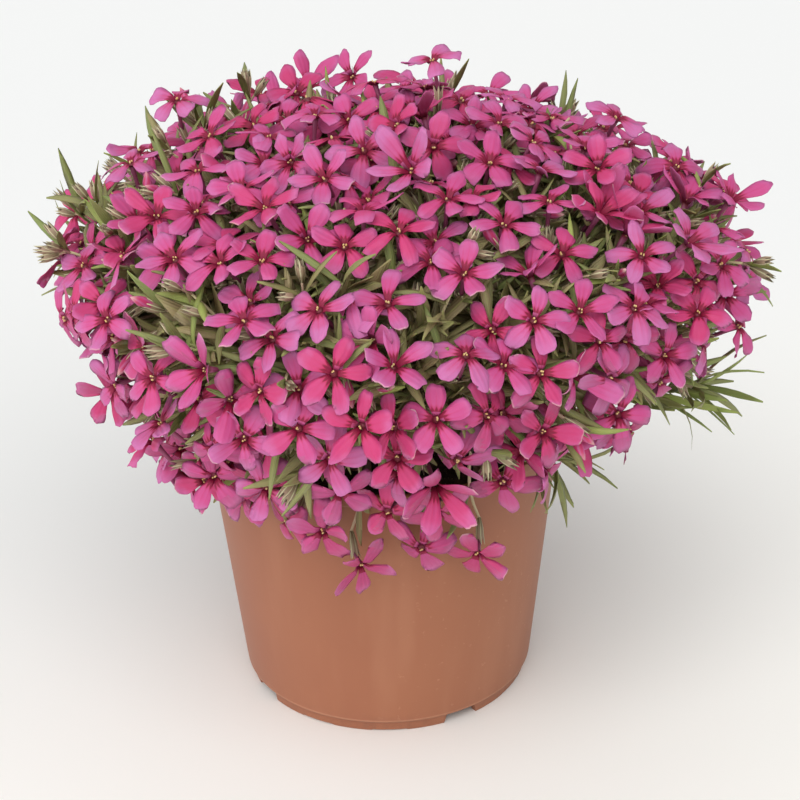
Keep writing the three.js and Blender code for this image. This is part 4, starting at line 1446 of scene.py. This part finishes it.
class BloomSettings(bpy.types.PropertyGroup):
    petal_width: length("Petal width", "Widest part of a petal", 6.1)
    petal_thickness: length("Petal thickness", "Thickness of a petal", 0.3)
    filler_apart: length("Middle spacing", "Least distance between the blooms of the middle layer", 24)
    inner_apart: length("Inner spacing", "Least distance between the blooms of the inner layer", 22.5)
    rose: tone("Rose", "Most petals", "#c84f8a")
    orchid: tone("Orchid", "Edges of the petals and the cooler blooms", "#c66fa6")
    cherry: tone("Cherry", "Veins and the warmer blooms", "#c5366a")
    flame: tone("Flame", "Glow round the eye", "#b81e48")
    eye: tone("Eye", "Rays at the foot of the petals", "#811437")
    throat: tone("Throat", "Mouth of the tube", "#6d1c2c")
    tube: tone("Tube", "Upper part of the tube", "#99446a")
    tube_foot: tone("Tube foot", "Lower part of the tube", "#5c2238")
    pollen: tone("Pollen", "Colour of the anthers", "#d29a3c")
    pale_pollen: tone("Pale pollen", "Lighter grains of the anthers", "#f3e3b4")
    dusk: tone("Dusk", "Backs of the petals near their foot", "#934269")
    pale: tone("Pale", "Backs of the petals towards their tips", "#c37ea3")
    cream: tone("Cream", "Rims of some petals and tips of buds", "#e6d3bd")
    glow: factor("Glow", "How much light passes through a petal", 0.12)


class FoliageSettings(bpy.types.PropertyGroup):
    leaf_length: length("Leaf length", "Length of a full leaf", 22.0)
    leaf_width: length("Leaf width", "Widest part of a leaf", 2.5)
    leaf_thickness: length("Leaf thickness", "Thickness of a leaf", 0.4)
    tips_apart: length("Tip spacing", "Least distance between leafy tips", 11.5)
    buds: factor("Buds", "Share of the calyces at the leafy tips that hold a bud", 0.12)
    leaf: tone("Leaf", "Colour of a leaf in the light", "#748748")
    # Brown of the older leaves, with the painted cast of pink light bounced into the deep cushion.
    old_leaf_and_bounce: tone("Dark leaf", "Colour of the older leaves", "#9c8b64")
    young_leaf: tone("Young leaf", "Ribs, tips and young leaves", "#a3ad5a")
    stem: tone("Stem", "Young stems and stalks", "#c8bb90")
    bark: tone("Bark", "Older stems and stalks", "#b99785")
    calyx: tone("Calyx", "Furrows of the calyx", "#857858")
    rib: tone("Rib", "Pale ribs of the calyx", "#d6d3a8")


class StageSettings(bpy.types.PropertyGroup):
    # The near floor colour is painted light, and the middle floor colour is painted shade.
    floor_painted_light: tone("Near floor", "Colour of the floor in front", "#fffdf8")
    floor_painted_shade: tone("Middle floor", "Colour of the floor behind the pot", "#ebebe9")
    far_floor: tone("Far floor", "Colour of the floor in the distance", "#f3f3f2")
    key: strength("Key light", "Strength of the main light", 1.76)
    fill: strength("Fill light", "Strength of the light from the left", 0.7)
    room: strength("Room light", "Strength of the light from all round", 0.585)


SETTINGS = {
    "phlox_pot": PotSettings,
    "phlox_soil": SoilSettings,
    "phlox_blooms": BloomSettings,
    "phlox_foliage": FoliageSettings,
    "phlox_stage": StageSettings,
}


# ---------- Operators ----------


class PHLOX_OT_pot(bpy.types.Operator):
    """Turn the pot from its profile"""

    bl_idname = "phlox.pot"
    bl_label = "Pot"

    def execute(self, context):
        dress_pot(pot_finish(context.scene.phlox_pot))
        return {"FINISHED"}


class PHLOX_OT_soil(bpy.types.Operator):
    """Fill the pot with potting mix"""

    bl_idname = "phlox.soil"
    bl_label = "Soil"

    def execute(self, context):
        settings = context.scene.phlox_soil
        dress_soil(soil_finish(settings), settings)
        return {"FINISHED"}


class PHLOX_OT_foliage(bpy.types.Operator):
    """Grow stems, leaves, calyces and buds"""

    bl_idname = "phlox.foliage"
    bl_label = "Foliage"

    def execute(self, context):
        settings = context.scene.phlox_foliage
        materials = [
            stem_finish(settings),
            leaf_finish(settings),
            calyx_finish(settings),
            bud_finish(context.scene.phlox_blooms),
        ]
        for shoot in grow():
            dress_foliage(shoot, materials, settings)
        return {"FINISHED"}


class PHLOX_OT_blooms(bpy.types.Operator):
    """Open the flowers"""

    bl_idname = "phlox.blooms"
    bl_label = "Blooms"

    def execute(self, context):
        settings = context.scene.phlox_blooms
        materials = [
            petal_finish("petal", settings, False),
            petal_finish("petal_back", settings, True),
            tube_finish(settings),
            anther_finish(settings),
        ]
        for shoot in grow():
            if shoot.blooms:
                dress_blooms(shoot, materials, settings)
        return {"FINISHED"}


class PHLOX_OT_stage(bpy.types.Operator):
    """Add the floor, the lights and the camera"""

    bl_idname = "phlox.stage"
    bl_label = "Stage"

    def execute(self, context):
        settings = context.scene.phlox_stage
        lay_floor(settings)
        light_room(context.scene, settings)
        set_camera(context.scene)
        return {"FINISHED"}


OPERATORS = [PHLOX_OT_pot, PHLOX_OT_soil, PHLOX_OT_foliage, PHLOX_OT_blooms, PHLOX_OT_stage]


class PHLOX_PT_panel(bpy.types.Panel):
    """Operators and settings of the potted phlox"""

    bl_idname = "PHLOX_PT_panel"
    bl_label = "Potted Phlox"
    bl_space_type = "VIEW_3D"
    bl_region_type = "UI"
    bl_category = "Phlox"

    def draw(self, context):
        for operator, group in zip(OPERATORS, SETTINGS):
            box = self.layout.box()
            box.operator(operator.bl_idname)
            settings = getattr(context.scene, group)
            for key in settings.bl_rna.properties.keys():
                if key not in ("rna_type", "name"):
                    box.prop(settings, key)


def register():
    for group in SETTINGS.values():
        bpy.utils.register_class(group)
    for name, group in SETTINGS.items():
        setattr(bpy.types.Scene, name, bpy.props.PointerProperty(type=group))
    for item in (*OPERATORS, PHLOX_PT_panel):
        bpy.utils.register_class(item)


def unregister():
    for item in reversed((*OPERATORS, PHLOX_PT_panel)):
        bpy.utils.unregister_class(item)
    for name, group in SETTINGS.items():
        delattr(bpy.types.Scene, name)
        bpy.utils.unregister_class(group)


def main():
    register()
    bpy.ops.phlox.pot()
    bpy.ops.phlox.soil()
    bpy.ops.phlox.foliage()
    bpy.ops.phlox.blooms()
    bpy.ops.phlox.stage()


if __name__ == "__main__":
    main()
